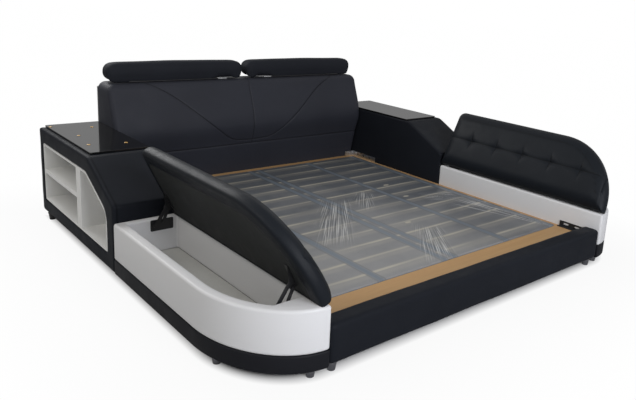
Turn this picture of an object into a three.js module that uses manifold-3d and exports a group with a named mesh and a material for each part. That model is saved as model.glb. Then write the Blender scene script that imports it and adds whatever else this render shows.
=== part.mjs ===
// A double bed with a padded headboard, two bedside units with open side bookcases, and two long
// storage boxes whose tufted lids swing up and outwards on four-bar lift hinges.
// Millimetres, +Z up, +Y towards the headboard. The origin is on the floor under the middle.

import * as THREE from 'three';
import { mergeVertices } from 'three/addons/utils/BufferGeometryUtils.js';
import Module from 'manifold-3d';

const wasm = await Module();
wasm.setup();

// Driving sizes of the whole bed
const bayWidth = 1830;
const bedLength = 2280;
const sideWidth = 325;
const boxLength = 1190;
const footHeight = 40;
const plinthTop = 111;
const boxTop = 285;
const unitTop = 521;
const headTop = 768;
const fit = 0.3;
const overrun = 5;
const weld = 0.001;

const bayHalf = bayWidth / 2;
const outerHalf = bayHalf + sideWidth;

// Round metal feet
const foot = { radius: 19, inset: 40, facets: 12, cornerAngle: THREE.MathUtils.degToRad(15) };

// Storage box: a D-shaped plan with an elliptical outer front corner
const box = {
  cornerDepth: 420,
  outerWall: 50,
  innerWall: 30,
  rearWall: 28,
  rim: 9,
  floorThickness: 6,
  plinthWall: 70,
  plinthRim: 5,
  rearFootOffset: 160,
};

// Lid, drawn closed: a soft pad that hangs over the inner wall and over the outer wall
const lid = {
  innerOverhang: 12,
  overhang: 34,
  frontSetback: 3,
  rearGap: 6,
  rearRound: 45,
  cornerTrim: 50,
  restGap: 5,
  boardThickness: 15,
  boardEdge: 8,
  boardRim: 38,
  drawIn: 7,
  belt: 26,
  shoulder: 36,
  shoulderWidth: 44,
  crown: 20,
  seamDepth: 9,
  seamWidth: 15,
  tuftDepth: 13,
  tuftRadius: 30,
  tuftCount: 5,
  creaseLength: 70,
  openAngle: THREE.MathUtils.degToRad(64),
};

// Lift hinges: two wall pivots and two lid rivets at each end of a box
const lift = {
  centreInset: 32,
  centreRise: 38,
  longPivot: 147,
  longDrop: 35,
  shortPivot: 105,
  shortDrop: 23,
  longReach: 75,
  shortReach: 60,
  plateInner: 54,
  plateLength: 110,
  plateEndGap: 2,
  plateDrop: 9,
  plateHeight: 54,
  plateCorner: 5,
  sheet: 3,
  bar: 4,
  longHalf: 8,
  shortHalf: 7,
  pin: 3.5,
  eye: 4.3,
  head: 6,
  headRise: 1.4,
  layer: 1,
  flangeWidth: 24,
  webTail: 96,
  webEdge: 8,
  webInset: 4.5,
  webCorner: 3,
};

// Side unit: bedside table with a bookcase that opens outwards
const unit = {
  slopeBottom: 362,
  slopeLength: 324,
  frameDepth: 35,
  frameRim: 7,
  corner: 16,
  topBand: 80,
  bottomBand: 75,
  rearPost: 56,
  frontPost: 88,
  slopeBand: 84,
  cornerRound: 26,
  coverThickness: 20,
  innerPanel: 20,
  backPanel: 12,
  lining: 12,
  liningRecess: 4,
  liningBack: 14,
  dividerSetback: 111,
  dividerWidth: 62,
  shelfPlace: 271,
  shelf: 23,
  footInset: 90,
};

// Glass top on thin clear buttons
const glass = {
  thickness: 9,
  lift: 2,
  outerInset: 28,
  innerInset: 3,
  frontInset: 25,
  rearInset: 14,
  corner: 8,
  edge: 1,
  buttonInset: 80,
  buttonRadius: 8,
};

// Headboard, seen from the side: lower face, belly and top
const head = {
  backPanel: 12,
  backPanelDrop: 30,
  lowDepth: 180,
  seamHeight: 350,
  seamDepthY: 218,
  bellyHeight: 500,
  bellyDepth: 254,
  topDepth: 172,
  cornerRound: 72,
  edgeRound: 30,
  seamGroove: 5,
  seamWidth: 9,
  puff: 7,
  footPlace: 640,
};

// Headrest bolsters on click-stop hinges
const rest = {
  length: 873,
  middleGap: 44,
  depth: 120,
  height: 108,
  sag: 4,
  rearSet: 78,
  lift: 12,
  pivotSet: 45,
  pivotRise: 6.5,
  barrel: 5,
  bore: 3.4,
  rod: 3,
  bracketLength: 60,
  bracketDepth: 65,
  bracketSheet: 3,
  innerHingeInset: 148,
  outerHingeInset: 155,
  strap: 30,
  strapGap: 4,
  strapLength: 88,
  facets: 22,
  squareShare: 0.78,
  endShare: 0.55,
};

// Foot rail, timber rails and slat frames
const rail = { depth: 95, top: 204, edgeRound: 13, endRound: 8, footInset: 40 };
const timber = { top: 155, thickness: 30, footWidth: 160, sideWidth: 50, headWidth: 60, edge: 2 };
const slats = {
  centreGap: 26,
  sideGap: 3,
  slatEnd: 3,
  tubeWidth: 40,
  tubeHeight: 30,
  count: 13,
  width: 53,
  thickness: 9,
  drop: 5,
  bow: 6,
  endGap: 5,
  legRadius: 18,
  legShares: [0.3, 0.72],
};

// Steel corner brackets above the timber
const headBracket = { length: 262, wing: 74, height: 34, sheet: 3, hole: 7, holes: 3, gap: 3 };
const footBracket = {
  length: 152,
  height: 30,
  flange: 26,
  sheet: 3,
  slotLength: 34,
  slotHalf: 5,
  slotShares: [0.27, 0.73],
};

// Colours and finishes
const finish = {
  blackLeather: { color: 0x1c1d20, roughness: 0.5, metalness: 0 },
  whiteLeather: { color: 0xe6e5e8, roughness: 0.45, metalness: 0 },
  whiteBoard: { color: 0xd9d8d4, roughness: 0.5, metalness: 0 },
  darkLining: { color: 0x232425, roughness: 0.9, metalness: 0 },
  blackGlass: { color: 0x0b0b0d, roughness: 0.06, metalness: 0 },
  blackSteel: { color: 0x131316, roughness: 0.4, metalness: 0.6 },
  brightSteel: { color: 0xb9bcc0, roughness: 0.3, metalness: 1 },
  pine: { color: 0xb28a55, roughness: 0.65, metalness: 0 },
  greySteel: { color: 0x5d6c7c, roughness: 0.45, metalness: 0.3 },
};

// Geometry to solid and back

function solidOf(geometry) {
  const bare = new THREE.BufferGeometry();
  bare.setAttribute('position', geometry.attributes.position.clone());
  if (geometry.index) bare.setIndex(geometry.index.clone());
  const merged = mergeVertices(bare, weld);
  const source = merged.index.array;
  const triVerts = [];
  for (let i = 0; i < source.length; i += 3) {
    const [a, b, c] = [source[i], source[i + 1], source[i + 2]];
    if (a !== b && b !== c && c !== a) triVerts.push(a, b, c);
  }
  return new wasm.Manifold(new wasm.Mesh({
    numProp: 3,
    vertProperties: Float32Array.from(merged.attributes.position.array),
    triVerts: Uint32Array.from(triVerts),
  }));
}

function geometryOf(solid) {
  const mesh = solid.getMesh();
  const geometry = new THREE.BufferGeometry();
  geometry.setAttribute('position', new THREE.BufferAttribute(Float32Array.from(mesh.vertProperties), 3));
  geometry.setIndex(new THREE.BufferAttribute(Uint32Array.from(mesh.triVerts), 1));
  return geometry;
}

function join(...geometries) {
  return geometryOf(geometries.map(solidOf).reduce((whole, piece) => whole.add(piece)));
}

function cut(geometry, ...tools) {
  return geometryOf(tools.map(solidOf).reduce((whole, tool) => whole.subtract(tool), solidOf(geometry)));
}

function mirrored(geometry) {
  const copy = geometry.index ? geometry.toNonIndexed() : geometry.clone();
  const place = copy.attributes.position;
  for (let i = 0; i < place.count; i += 3) {
    const turned = [i, i + 2, i + 1];
    const corners = turned.map((index) => new THREE.Vector3().fromBufferAttribute(place, index));
    corners.forEach((corner, k) => place.setXYZ(i + k, -corner.x, corner.y, corner.z));
  }
  return copy;
}

// Basic forms

function block(x0, x1, y0, y1, z0, z1) {
  const geometry = new THREE.BoxGeometry(x1 - x0, y1 - y0, z1 - z0);
  return geometry.translate((x0 + x1) / 2, (y0 + y1) / 2, (z0 + z1) / 2);
}

// Extrudes a flat shape along one axis: X takes (y, z) shapes, Y takes (x, z) and Z takes (x, y)
function prism(shape, axis, from, to, bevel = 0, segments = 12, bevelSegments = 2) {
  const geometry = new THREE.ExtrudeGeometry(shape, {
    depth: to - from - 2 * bevel,
    bevelEnabled: bevel > 0,
    bevelThickness: bevel,
    bevelSize: bevel,
    bevelOffset: -bevel,
    bevelSegments,
    curveSegments: segments,
  });
  geometry.translate(0, 0, bevel);
  if (axis === 'y') {
    geometry.translate(0, 0, -to);
    return geometry.rotateX(Math.PI / 2);
  }
  geometry.translate(0, 0, from);
  if (axis === 'x') geometry.rotateY(Math.PI / 2).rotateX(Math.PI / 2);
  return geometry;
}

function rod(axis, radius, from, to, first, second, facets = 10) {
  const geometry = new THREE.CylinderGeometry(radius, radius, to - from, facets);
  const middle = (from + to) / 2;
  if (axis === 'x') return geometry.rotateZ(Math.PI / 2).translate(middle, first, second);
  if (axis === 'y') return geometry.translate(first, middle, second);
  return geometry.rotateX(Math.PI / 2).translate(first, second, middle);
}

function footAt(x, y, top = footHeight) {
  return rod('z', foot.radius, 0, top + overrun, x, y, foot.facets);
}

function polygon(points) {
  return new THREE.Shape(points.map(([a, b]) => new THREE.Vector2(a, b)));
}

function roundedRectangle(a0, a1, b0, b1, r) {
  const shape = new THREE.Shape();
  shape.absarc(a1 - r, b0 + r, r, -Math.PI / 2, 0);
  shape.absarc(a1 - r, b1 - r, r, 0, Math.PI / 2);
  shape.absarc(a0 + r, b1 - r, r, Math.PI / 2, Math.PI);
  shape.absarc(a0 + r, b0 + r, r, Math.PI, 1.5 * Math.PI);
  return shape;
}

// Polygon whose listed corners are rounded: each entry is [a, b, radius]
function softPolygon(corners) {
  const shape = new THREE.Shape();
  corners.forEach(([a, b, radius], i) => {
    const here = new THREE.Vector2(a, b);
    const before = new THREE.Vector2(...corners[(i + corners.length - 1) % corners.length]);
    const after = new THREE.Vector2(...corners[(i + 1) % corners.length]);
    const start = here.clone().add(before.sub(here).setLength(radius));
    const end = here.clone().add(after.sub(here).setLength(radius));
    if (i === 0) shape.moveTo(start.x, start.y);
    else shape.lineTo(start.x, start.y);
    if (radius > 0) shape.quadraticCurveTo(a, b, end.x, end.y);
  });
  return shape;
}

// Flat bar with round ends between two points, drawn in the plane of its length
function linkShape(ends, half, holes) {
  const [a, b] = ends;
  const turn = Math.atan2(b.y - a.y, b.x - a.x);
  const shape = new THREE.Shape();
  shape.absarc(a.x, a.y, half, turn + Math.PI / 2, turn + 1.5 * Math.PI);
  shape.absarc(b.x, b.y, half, turn - Math.PI / 2, turn + Math.PI / 2);
  for (const end of holes) {
    const hole = new THREE.Path();
    hole.absarc(end.x, end.y, lift.eye, 0, 2 * Math.PI);
    shape.holes.push(hole);
  }
  return shape;
}

// A padded body on a flat back: rows run along v, and each row spans from low to high in u.
// Rim columns keep their distance to the edge, inner columns keep their place.
function padded({ rows, span, inner, rims, height, belt, drawIn }) {
  const rimWidth = rims[rims.length - 1];
  const grid = rows.map((v) => {
    const [low, high] = span(v);
    const squeeze = Math.min(1, (high - low) / (2 * rimWidth));
    const left = rims.map((r) => low + r * squeeze);
    const right = rims.map((r) => high - r * squeeze).reverse();
    const edge = rimWidth * squeeze;
    const middle = inner.map((u) => Math.min(Math.max(u, low + edge), high - edge));
    return [...left, ...middle, ...right].map((u) => [u, v]);
  });
  const across = grid[0].length;
  const last = grid.length - 1;
  const loop = [];
  grid[0].forEach((_, i) => loop.push([i, 0]));
  for (let j = 1; j < last; j += 1) loop.push([across - 1, j]);
  grid[last].forEach((_, i) => loop.push([across - 1 - i, last]));
  for (let j = last - 1; j > 0; j -= 1) loop.push([0, j]);

  const middleU = (grid[last >> 1][0][0] + grid[last >> 1][across - 1][0]) / 2;
  const middleV = (rows[0] + rows[last]) / 2;
  const points = [];
  const triangles = [];
  const top = (i, j) => j * across + i;
  grid.forEach((row) => row.forEach(([u, v]) => points.push(u, v, belt(u, v) + height(u, v))));
  for (let j = 0; j < last; j += 1) {
    for (let i = 0; i < across - 1; i += 1) {
      triangles.push(top(i, j), top(i + 1, j), top(i + 1, j + 1));
      triangles.push(top(i, j), top(i + 1, j + 1), top(i, j + 1));
    }
  }
  const start = points.length / 3;
  const contour = loop.map(([i, j]) => {
    const [u, v] = grid[j][i];
    return new THREE.Vector2(u - Math.sign(u - middleU) * drawIn, v - Math.sign(v - middleV) * drawIn);
  });
  contour.forEach((c) => points.push(c.x, c.y, 0));
  loop.forEach(([i, j], k) => {
    const next = (k + 1) % loop.length;
    const [ni, nj] = loop[next];
    triangles.push(start + k, start + next, top(ni, nj));
    triangles.push(start + k, top(ni, nj), top(i, j));
  });
  for (const [a, b, c] of THREE.ShapeUtils.triangulateShape(contour, [])) {
    triangles.push(start + a, start + c, start + b);
  }
  const geometry = new THREE.BufferGeometry();
  geometry.setAttribute('position', new THREE.BufferAttribute(Float32Array.from(points), 3));
  geometry.setIndex(triangles);
  return geometryOf(solidOf(geometry));
}

// Quarter-round rise over an edge of the given width and height
function roundOver(distance, width, rise) {
  const t = Math.min(Math.max(distance / width, 0), 1);
  return rise * Math.sqrt(1 - (1 - t) ** 2);
}

// A narrow sewn valley: 1 on the seam line and 0 one seam width away
function valley(distance, width) {
  const t = Math.min(Math.abs(distance) / width, 1);
  return (1 - t) ** 2;
}

// The D-shaped plan of the right storage box and of its lid

function planOutline(innerX, outerX, frontY, rearY, cornerDepth) {
  const shape = new THREE.Shape();
  shape.absellipse(innerX, frontY + cornerDepth, outerX - innerX, cornerDepth, -Math.PI / 2, 0);
  shape.lineTo(outerX, rearY);
  shape.lineTo(innerX, rearY);
  return shape;
}

// Depth of the block in front of the room: as deep as the curve needs to leave room for the hinge plate
const roomWide = sideWidth - box.outerWall;
const roomDeep = box.cornerDepth - box.outerWall;
const plateReach = lift.plateInner + lift.plateLength + lift.plateEndGap;
const frontBlock = box.cornerDepth - roomDeep * Math.sqrt(1 - (plateReach / roomWide) ** 2);

// Room inside the box: flat front block, then the curved wall
function roomOutline(clear) {
  const wide = roomWide - clear;
  const deep = roomDeep - clear;
  const front = frontBlock + clear;
  const start = Math.asin((front - box.cornerDepth) / deep);
  const innerX = bayHalf + box.innerWall + clear;
  const rearY = boxLength - box.rearWall - clear;
  const shape = new THREE.Shape();
  shape.moveTo(innerX, rearY);
  shape.lineTo(innerX, front);
  shape.absellipse(bayHalf, box.cornerDepth, wide, deep, start, 0);
  shape.lineTo(bayHalf + wide, rearY);
  return shape;
}

function boxWall() {
  const outline = planOutline(bayHalf, outerHalf, 0, boxLength, box.cornerDepth);
  outline.holes.push(new THREE.Path(roomOutline(0).getPoints(10)));
  return prism(outline, 'z', plinthTop + fit, boxTop, box.rim, 14);
}

function boxFloor() {
  return prism(roomOutline(fit), 'z', plinthTop + fit, plinthTop + fit + box.floorThickness, 0, 10);
}

function plinth() {
  const outline = planOutline(bayHalf, outerHalf, 0, boxLength, box.cornerDepth);
  const w = box.plinthWall;
  const hollow = planOutline(bayHalf + w, outerHalf - w, w, boxLength - w, box.cornerDepth - w);
  outline.holes.push(new THREE.Path(hollow.getPoints(8)));
  const ring = prism(outline, 'z', footHeight, plinthTop, box.plinthRim, 14);
  const cornerX = bayHalf + (sideWidth - foot.inset) * Math.cos(foot.cornerAngle);
  const cornerY = box.cornerDepth - (box.cornerDepth - foot.inset) * Math.sin(foot.cornerAngle);
  return join(
    ring,
    footAt(bayHalf + foot.inset + foot.radius / 2, foot.inset + foot.radius / 2),
    footAt(cornerX, cornerY),
    footAt(bayHalf + box.rearFootOffset, boxLength - foot.inset),
  );
}

// Lid pieces, drawn closed over the right box

const lidInner = bayHalf - lid.innerOverhang;
const lidOuter = outerHalf + lid.overhang;
const lidFront = lid.frontSetback;
const lidRear = boxLength - lid.rearGap;
const lidWidth = lidOuter - lidInner;
const lidCorner = box.cornerDepth - lid.cornerTrim;
const lidBase = boxTop + lid.restGap;
const tuftPitch = (lidRear - lidFront) / (lid.tuftCount + 1);

function lidReach(y) {
  const t = Math.min(Math.max((lidFront + lidCorner - y) / lidCorner, 0), 1);
  const s = Math.min(Math.max((y - lidRear) / lid.rearRound + 1, 0), 1);
  return lidInner + lidWidth * Math.sqrt(1 - t * t) - lid.rearRound * (1 - Math.sqrt(1 - s * s));
}

// Distance from a point to the nearest edge of the lid's plan
function lidEdge(x, y) {
  const straight = Math.min(x - lidInner, lidOuter - x, lidRear - y);
  const pastX = x - lidOuter + lid.rearRound;
  const pastY = y - lidRear + lid.rearRound;
  if (pastX > 0 && pastY > 0) return lid.rearRound - Math.hypot(pastX, pastY);
  if (y >= lidFront + lidCorner) return straight;
  const a = (x - lidInner) / lidWidth;
  const b = (y - lidFront - lidCorner) / lidCorner;
  const f = Math.max(Math.hypot(a, b), weld);
  const slope = Math.hypot(a / lidWidth, b / lidCorner) / f;
  return Math.min(straight, (1 - f) / slope);
}

function lidRelief(x, y) {
  const edge = lidEdge(x, y);
  const seamFade = roundOver(edge, lid.shoulderWidth, 1);
  const middle = lidInner + lidWidth / 2;
  const rise = roundOver(edge, lid.shoulderWidth, lid.shoulder);
  const crown = lid.crown * roundOver(edge, lidWidth / 2, 1) * seamFade;
  const nearest = Math.round((y - lidFront) / tuftPitch);
  const tuft = Math.min(Math.max(nearest, 1), lid.tuftCount) * tuftPitch + lidFront;
  const alongSeam = valley(x - middle, lid.seamWidth);
  const creaseFade = Math.max(1 - Math.abs(x - middle) / lid.creaseLength, 0);
  const acrossSeam = valley(y - tuft, lid.seamWidth) * creaseFade;
  const dimple = valley(Math.hypot(x - middle, y - tuft), lid.tuftRadius);
  const sewn = Math.max(alongSeam, acrossSeam) * lid.seamDepth * seamFade + dimple * lid.tuftDepth;
  return rise + crown - sewn;
}

function lidRows() {
  const frontShares = [0, 0.006, 0.02, 0.05, 0.11, 0.2, 0.33];
  const betweenShares = [0.36, 0.64];
  const rearShares = [1, 0.6, 0.3, 0.1, 0];
  const rows = frontShares.map((share) => lidFront + share * lidCorner);
  for (let k = 1; k <= lid.tuftCount; k += 1) {
    const seam = lidFront + k * tuftPitch;
    rows.push(seam - lid.seamWidth, seam, seam + lid.seamWidth);
    if (k < lid.tuftCount) rows.push(...betweenShares.map((share) => seam + tuftPitch * share));
  }
  rearShares.forEach((share) => rows.push(lidRear - lid.shoulderWidth * share));
  return rows;
}

function lidCushion() {
  const middle = lidWidth / 2;
  const innerShares = [0.24, 0.38, 0.62, 0.76];
  const rimShares = [0, 0.05, 0.22, 0.55, 1];
  const places = innerShares.map((share) => lidInner + lidWidth * share);
  places.push(...[-1, 0, 1].map((k) => lidInner + middle + k * lid.seamWidth));
  const pad = padded({
    rows: lidRows(),
    span: (y) => [lidInner, lidReach(y)],
    inner: places.sort((a, b) => a - b),
    rims: rimShares.map((share) => share * lid.shoulderWidth),
    height: lidRelief,
    belt: () => lid.belt,
    drawIn: lid.drawIn,
  });
  const pocket = prism(boardOutline(fit), 'z', -overrun, lid.boardThickness + fit, 0, 10);
  return cut(pad, pocket).translate(0, 0, lidBase);
}

function boardOutline(clear) {
  return planOutline(
    lidInner + lid.boardEdge - clear,
    lidOuter - lid.boardRim + clear,
    lidFront + lid.boardRim - clear,
    lidRear - lid.boardEdge - lid.drawIn + clear,
    lidCorner - lid.boardRim + clear,
  );
}

function lidBoard() {
  return prism(boardOutline(0), 'z', lidBase, lidBase + lid.boardThickness, 0, 10);
}

// Lift hinge pivots in the x-z plane, for the closed and the open lid
const swingCentre = new THREE.Vector2(lidInner + lift.centreInset, lidBase + lift.centreRise);
const longPivot = new THREE.Vector2(bayHalf + lift.longPivot, boxTop - lift.longDrop);
const shortPivot = new THREE.Vector2(bayHalf + lift.shortPivot, boxTop - lift.shortDrop);

function rivetAt(pivot, reach, turn) {
  const aim = pivot.clone().sub(swingCentre).angle() + turn;
  return new THREE.Vector2(Math.cos(aim), Math.sin(aim)).multiplyScalar(reach).add(swingCentre);
}

const longRivet = rivetAt(longPivot, lift.longReach, -lid.openAngle / 2);
const shortRivet = rivetAt(shortPivot, lift.shortReach, -lid.openAngle / 2);
const longRivetOpen = rivetAt(longPivot, lift.longReach, lid.openAngle / 2);
const shortRivetOpen = rivetAt(shortPivot, lift.shortReach, lid.openAngle / 2);

// Layers of the hinge, counted from the wall it is screwed to
const plateFace = fit + lift.sheet;
const shortLayer = plateFace + lift.layer;
const webLayer = shortLayer + lift.bar + lift.layer;
const longLayer = webLayer + lift.sheet + lift.layer;
const pinEnd = longLayer + lift.bar + fit;

// Extrudes from one distance to another, away from the wall at faceY
function awayFrom(faceY, inward, shape, from, to) {
  const [a, b] = [faceY + inward * from, faceY + inward * to];
  return prism(shape, 'y', Math.min(a, b), Math.max(a, b), 0, 4);
}

function pinOut(faceY, inward, at, radius, from, to) {
  const [a, b] = [faceY + inward * from, faceY + inward * to];
  return rod('y', radius, Math.min(a, b), Math.max(a, b), at.x, at.y);
}

function liftPlate(faceY, inward) {
  const left = bayHalf + lift.plateInner;
  const top = boxTop - lift.plateDrop;
  const right = left + lift.plateLength;
  const outline = roundedRectangle(left, right, top - lift.plateHeight, top, lift.plateCorner);
  const shortEnd = shortLayer + lift.bar + fit;
  return join(
    awayFrom(faceY, inward, outline, fit, plateFace),
    pinOut(faceY, inward, longPivot, lift.pin, fit, pinEnd),
    pinOut(faceY, inward, longPivot, lift.head, pinEnd, pinEnd + lift.headRise),
    pinOut(faceY, inward, longPivot, lift.head, fit, longLayer - fit),
    pinOut(faceY, inward, shortPivot, lift.pin, fit, shortEnd),
  );
}

function longArm(faceY, inward) {
  const shape = linkShape([longPivot, longRivetOpen], lift.longHalf, [longPivot, longRivetOpen]);
  return awayFrom(faceY, inward, shape, longLayer, longLayer + lift.bar);
}

function shortLink(faceY, inward) {
  const shape = linkShape([shortPivot, shortRivetOpen], lift.shortHalf, [shortPivot]);
  return join(
    awayFrom(faceY, inward, shape, shortLayer, shortLayer + lift.bar),
    pinOut(faceY, inward, shortRivetOpen, lift.pin, shortLayer, webLayer - fit),
  );
}

// Lid bracket: a web across the hinge and a flange screwed under the lid board
function lidBracket(faceY, inward) {
  const under = lidBase - fit;
  const wallSide = bayHalf + box.innerWall + lift.webInset;
  const tail = wallSide + lift.webTail;
  const web = softPolygon([
    [wallSide, under, 0],
    [wallSide, shortRivet.y - lift.webEdge, lift.webCorner],
    [longRivet.x + lift.webEdge, longRivet.y - lift.webEdge, 2 * lift.webCorner],
    [longRivet.x + 2 * lift.webEdge, longRivet.y + lift.webEdge, lift.webCorner],
    [tail, under - lift.sheet, 0],
    [tail, under, 0],
  ]);
  const flange = polygon([
    [wallSide, under - lift.sheet],
    [tail, under - lift.sheet],
    [tail, under],
    [wallSide, under],
  ]);
  return join(
    awayFrom(faceY, inward, web, webLayer, webLayer + lift.sheet),
    awayFrom(faceY, inward, flange, webLayer, webLayer + lift.flangeWidth),
    pinOut(faceY, inward, longRivet, lift.pin, webLayer, pinEnd),
    pinOut(faceY, inward, longRivet, lift.head, pinEnd, pinEnd + lift.headRise),
  );
}

// Side unit, seen from the side: (y, z) outlines

const unitFront = boxLength + fit;
const slopeTopY = boxLength + unit.slopeLength;

function unitProfile(inset, front, rear) {
  return [
    [front, footHeight],
    [rear, footHeight],
    [rear, unitTop - inset],
    [slopeTopY, unitTop - inset],
    [front, unit.slopeBottom - inset],
  ];
}

// The padded side panels' common outline, with soft corners
function sideOutline() {
  return softPolygon(unitProfile(0, unitFront, bedLength).map(([y, z]) => [y, z, unit.corner]));
}

// The bookcase mouth follows the frame's outer edge, bands apart
function mouthCorners(inset) {
  const low = footHeight + unit.bottomBand + inset;
  const high = unitTop - unit.topBand - inset;
  const rear = bedLength - unit.rearPost - inset;
  const front = unitFront + unit.frontPost + inset;
  const slope = (unitTop - unit.slopeBottom) / unit.slopeLength;
  const drop = unit.slopeBand * Math.hypot(1, slope) + inset * Math.hypot(1, slope);
  const kneeZ = unit.slopeBottom + slope * (front - boxLength) - drop;
  const bendY = slopeTopY + (high + drop - unitTop) / slope;
  const round = Math.max(unit.cornerRound - inset, 0);
  return { low, high, rear, front, kneeZ, bendY, round };
}

function mouthShape(inset) {
  const m = mouthCorners(inset);
  return softPolygon([
    [m.front, m.low, m.round / 2],
    [m.rear, m.low, m.round / 2],
    [m.rear, m.high, m.round / 2],
    [m.bendY, m.high, m.round],
    [m.front, m.kneeZ, 2 * m.round],
  ]);
}

function unitFrame() {
  const face = sideOutline();
  face.holes.push(new THREE.Path(mouthShape(0).getPoints(4)));
  const frame = prism(face, 'x', outerHalf - unit.frameDepth, outerHalf, unit.frameRim, 4);
  const footX = outerHalf - foot.radius - unit.frameRim / 2;
  return join(frame, footAt(footX, bedLength - unit.footInset, footHeight + overrun));
}

function bookcase() {
  const inner = bayHalf + unit.innerPanel + fit;
  const outer = outerHalf - unit.liningRecess;
  const shell = prism(mouthShape(fit), 'x', inner, outer, 0, 4);
  const m = mouthCorners(unit.lining);
  const dividerFront = slopeTopY + unit.dividerSetback;
  const dividerRear = dividerFront + unit.dividerWidth;
  const shelfTop = unit.shelfPlace + unit.shelf;
  const cutFrom = inner + unit.liningBack;
  const cutTo = outer + overrun;
  const upper = block(cutFrom, cutTo, dividerRear, m.rear, shelfTop, m.high);
  const lower = block(cutFrom, cutTo, dividerRear, m.rear, m.low, unit.shelfPlace);
  const tall = softPolygon([
    [m.front, m.low, 0],
    [dividerFront, m.low, 0],
    [dividerFront, m.high, 0],
    [m.bendY, m.high, m.round],
    [m.front, m.kneeZ, 2 * m.round],
  ]);
  return cut(shell, upper, lower, prism(tall, 'x', cutFrom, cutTo, 0, 4));
}

// Cover: one bent panel over the top, down the slope and down behind the box
function unitCover() {
  const t = unit.coverThickness;
  const rear = bedLength - unit.backPanel - fit;
  const slope = (unitTop - unit.slopeBottom) / unit.slopeLength;
  const slant = t * Math.hypot(1, slope);
  const bend = slopeTopY + (slant - t) / slope;
  const knee = unit.slopeBottom + slope * t - slant;
  const section = polygon([
    [unitFront, footHeight],
    [unitFront + t, footHeight],
    [unitFront + t, knee],
    [bend, unitTop - t],
    [rear, unitTop - t],
    [rear, unitTop],
    [slopeTopY, unitTop],
    [unitFront, unit.slopeBottom],
  ]);
  return prism(section, 'x', bayHalf + unit.innerPanel + fit, outerHalf - unit.frameDepth - fit);
}

function unitInnerPanel() {
  const panel = prism(sideOutline(), 'x', bayHalf, bayHalf + unit.innerPanel, unit.frameRim / 2, 3);
  const footX = bayHalf + foot.radius + unit.frameRim / 2;
  return join(panel, footAt(footX, bedLength - unit.footInset, footHeight + overrun));
}

function unitBackPanel() {
  const from = bayHalf + unit.innerPanel + fit;
  const to = outerHalf - unit.frameDepth - fit;
  return block(from, to, bedLength - unit.backPanel, bedLength, footHeight, unitTop);
}

function glassTop() {
  const outline = roundedRectangle(
    bayHalf + glass.innerInset,
    outerHalf - glass.outerInset,
    slopeTopY + glass.frontInset,
    bedLength - glass.rearInset,
    glass.corner,
  );
  const low = unitTop + glass.lift;
  const plate = prism(outline, 'z', low, low + glass.thickness, glass.edge, 2, 1);
  const buttons = [];
  for (const x of [bayHalf + glass.buttonInset, outerHalf - glass.buttonInset]) {
    for (const y of [slopeTopY + glass.buttonInset, bedLength - glass.buttonInset]) {
      buttons.push(rod('z', glass.buttonRadius, unitTop + fit, low + glass.thickness / 2, x, y, 8));
    }
  }
  return join(plate, ...buttons);
}

// Headboard: depth of the padded face in front of the back panel, by height
const headBack = bedLength - head.backPanel - fit;
const headProfile = new THREE.CatmullRomCurve3([
  new THREE.Vector3(head.lowDepth, footHeight, 0),
  new THREE.Vector3(head.lowDepth, timber.top, 0),
  new THREE.Vector3(head.seamDepthY, head.seamHeight, 0),
  new THREE.Vector3(head.bellyDepth, head.bellyHeight, 0),
  new THREE.Vector3(head.topDepth, headTop, 0),
]);
const headCurve = headProfile.getSpacedPoints(60);

function headDepth(z) {
  const after = headCurve.findIndex((point) => point.y >= z);
  if (after <= 0) return headCurve[Math.max(after, 0)].x - head.backPanel;
  const [a, b] = [headCurve[after - 1], headCurve[after]];
  return THREE.MathUtils.mapLinear(z, a.y, b.y, a.x, b.x) - head.backPanel;
}

function headSpan(z) {
  const half = bayHalf - fit;
  const above = Math.max(z - (headTop - head.cornerRound), 0);
  const width = half - head.cornerRound + Math.sqrt(Math.max(head.cornerRound ** 2 - above ** 2, 0));
  return [-width, width];
}

function headRelief(x, z) {
  const toTop = headTop - z;
  const toSide = bayHalf - fit - Math.abs(x);
  const inCorner = toTop < head.cornerRound && toSide < head.cornerRound;
  const corner = head.cornerRound - Math.hypot(head.cornerRound - toTop, head.cornerRound - toSide);
  const edge = inCorner ? corner : Math.min(toTop, toSide);
  const upper = z > head.seamHeight;
  const sideways = upper ? Math.sin((Math.PI * Math.abs(x)) / bayHalf) : 0;
  const middleSeam = upper ? valley(x, head.seamWidth) : 0;
  const seam = Math.max(valley(z - head.seamHeight, head.seamWidth), middleSeam) * head.seamGroove;
  return roundOver(edge, head.edgeRound, head.edgeRound) + head.puff * sideways - seam;
}

function headboardPad() {
  const sideShares = [0.2, 0.45, 0.7];
  const places = sideShares.flatMap((share) => [-share * bayHalf, share * bayHalf]);
  places.push(-head.seamWidth, 0, head.seamWidth);
  const cornerShares = [1, 0.75, 0.5, 0.28, 0.12, 0.03, 0];
  const lowShares = [0, 0.55, 1];
  const beltShares = [0.5, 1];
  const upperShares = [0.15, 0.35, 0.55, 0.75];
  const rimShares = [0, 0.1, 0.3, 0.6, 1];
  const belt = head.seamHeight - head.seamWidth - timber.top;
  const cornerStart = headTop - head.cornerRound;
  const pad = padded({
    rows: [
      ...lowShares.map((share) => footHeight + share * (timber.top - footHeight)),
      ...beltShares.map((share) => timber.top + share * belt),
      head.seamHeight,
      head.seamHeight + head.seamWidth,
      ...upperShares.map((share) => head.seamHeight + share * (cornerStart - head.seamHeight)),
      ...cornerShares.map((share) => headTop - share * head.cornerRound),
    ],
    span: headSpan,
    inner: places.sort((a, b) => a - b),
    rims: rimShares.map((share) => share * head.edgeRound),
    height: headRelief,
    belt: (x, z) => headDepth(z) - head.edgeRound,
    drawIn: 0,
  });
  pad.rotateX(Math.PI / 2).translate(0, headBack, 0);
  const feet = [-1, 1].map((side) => footAt(side * head.footPlace, headBack - head.lowDepth / 2));
  return join(pad, ...feet);
}

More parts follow.
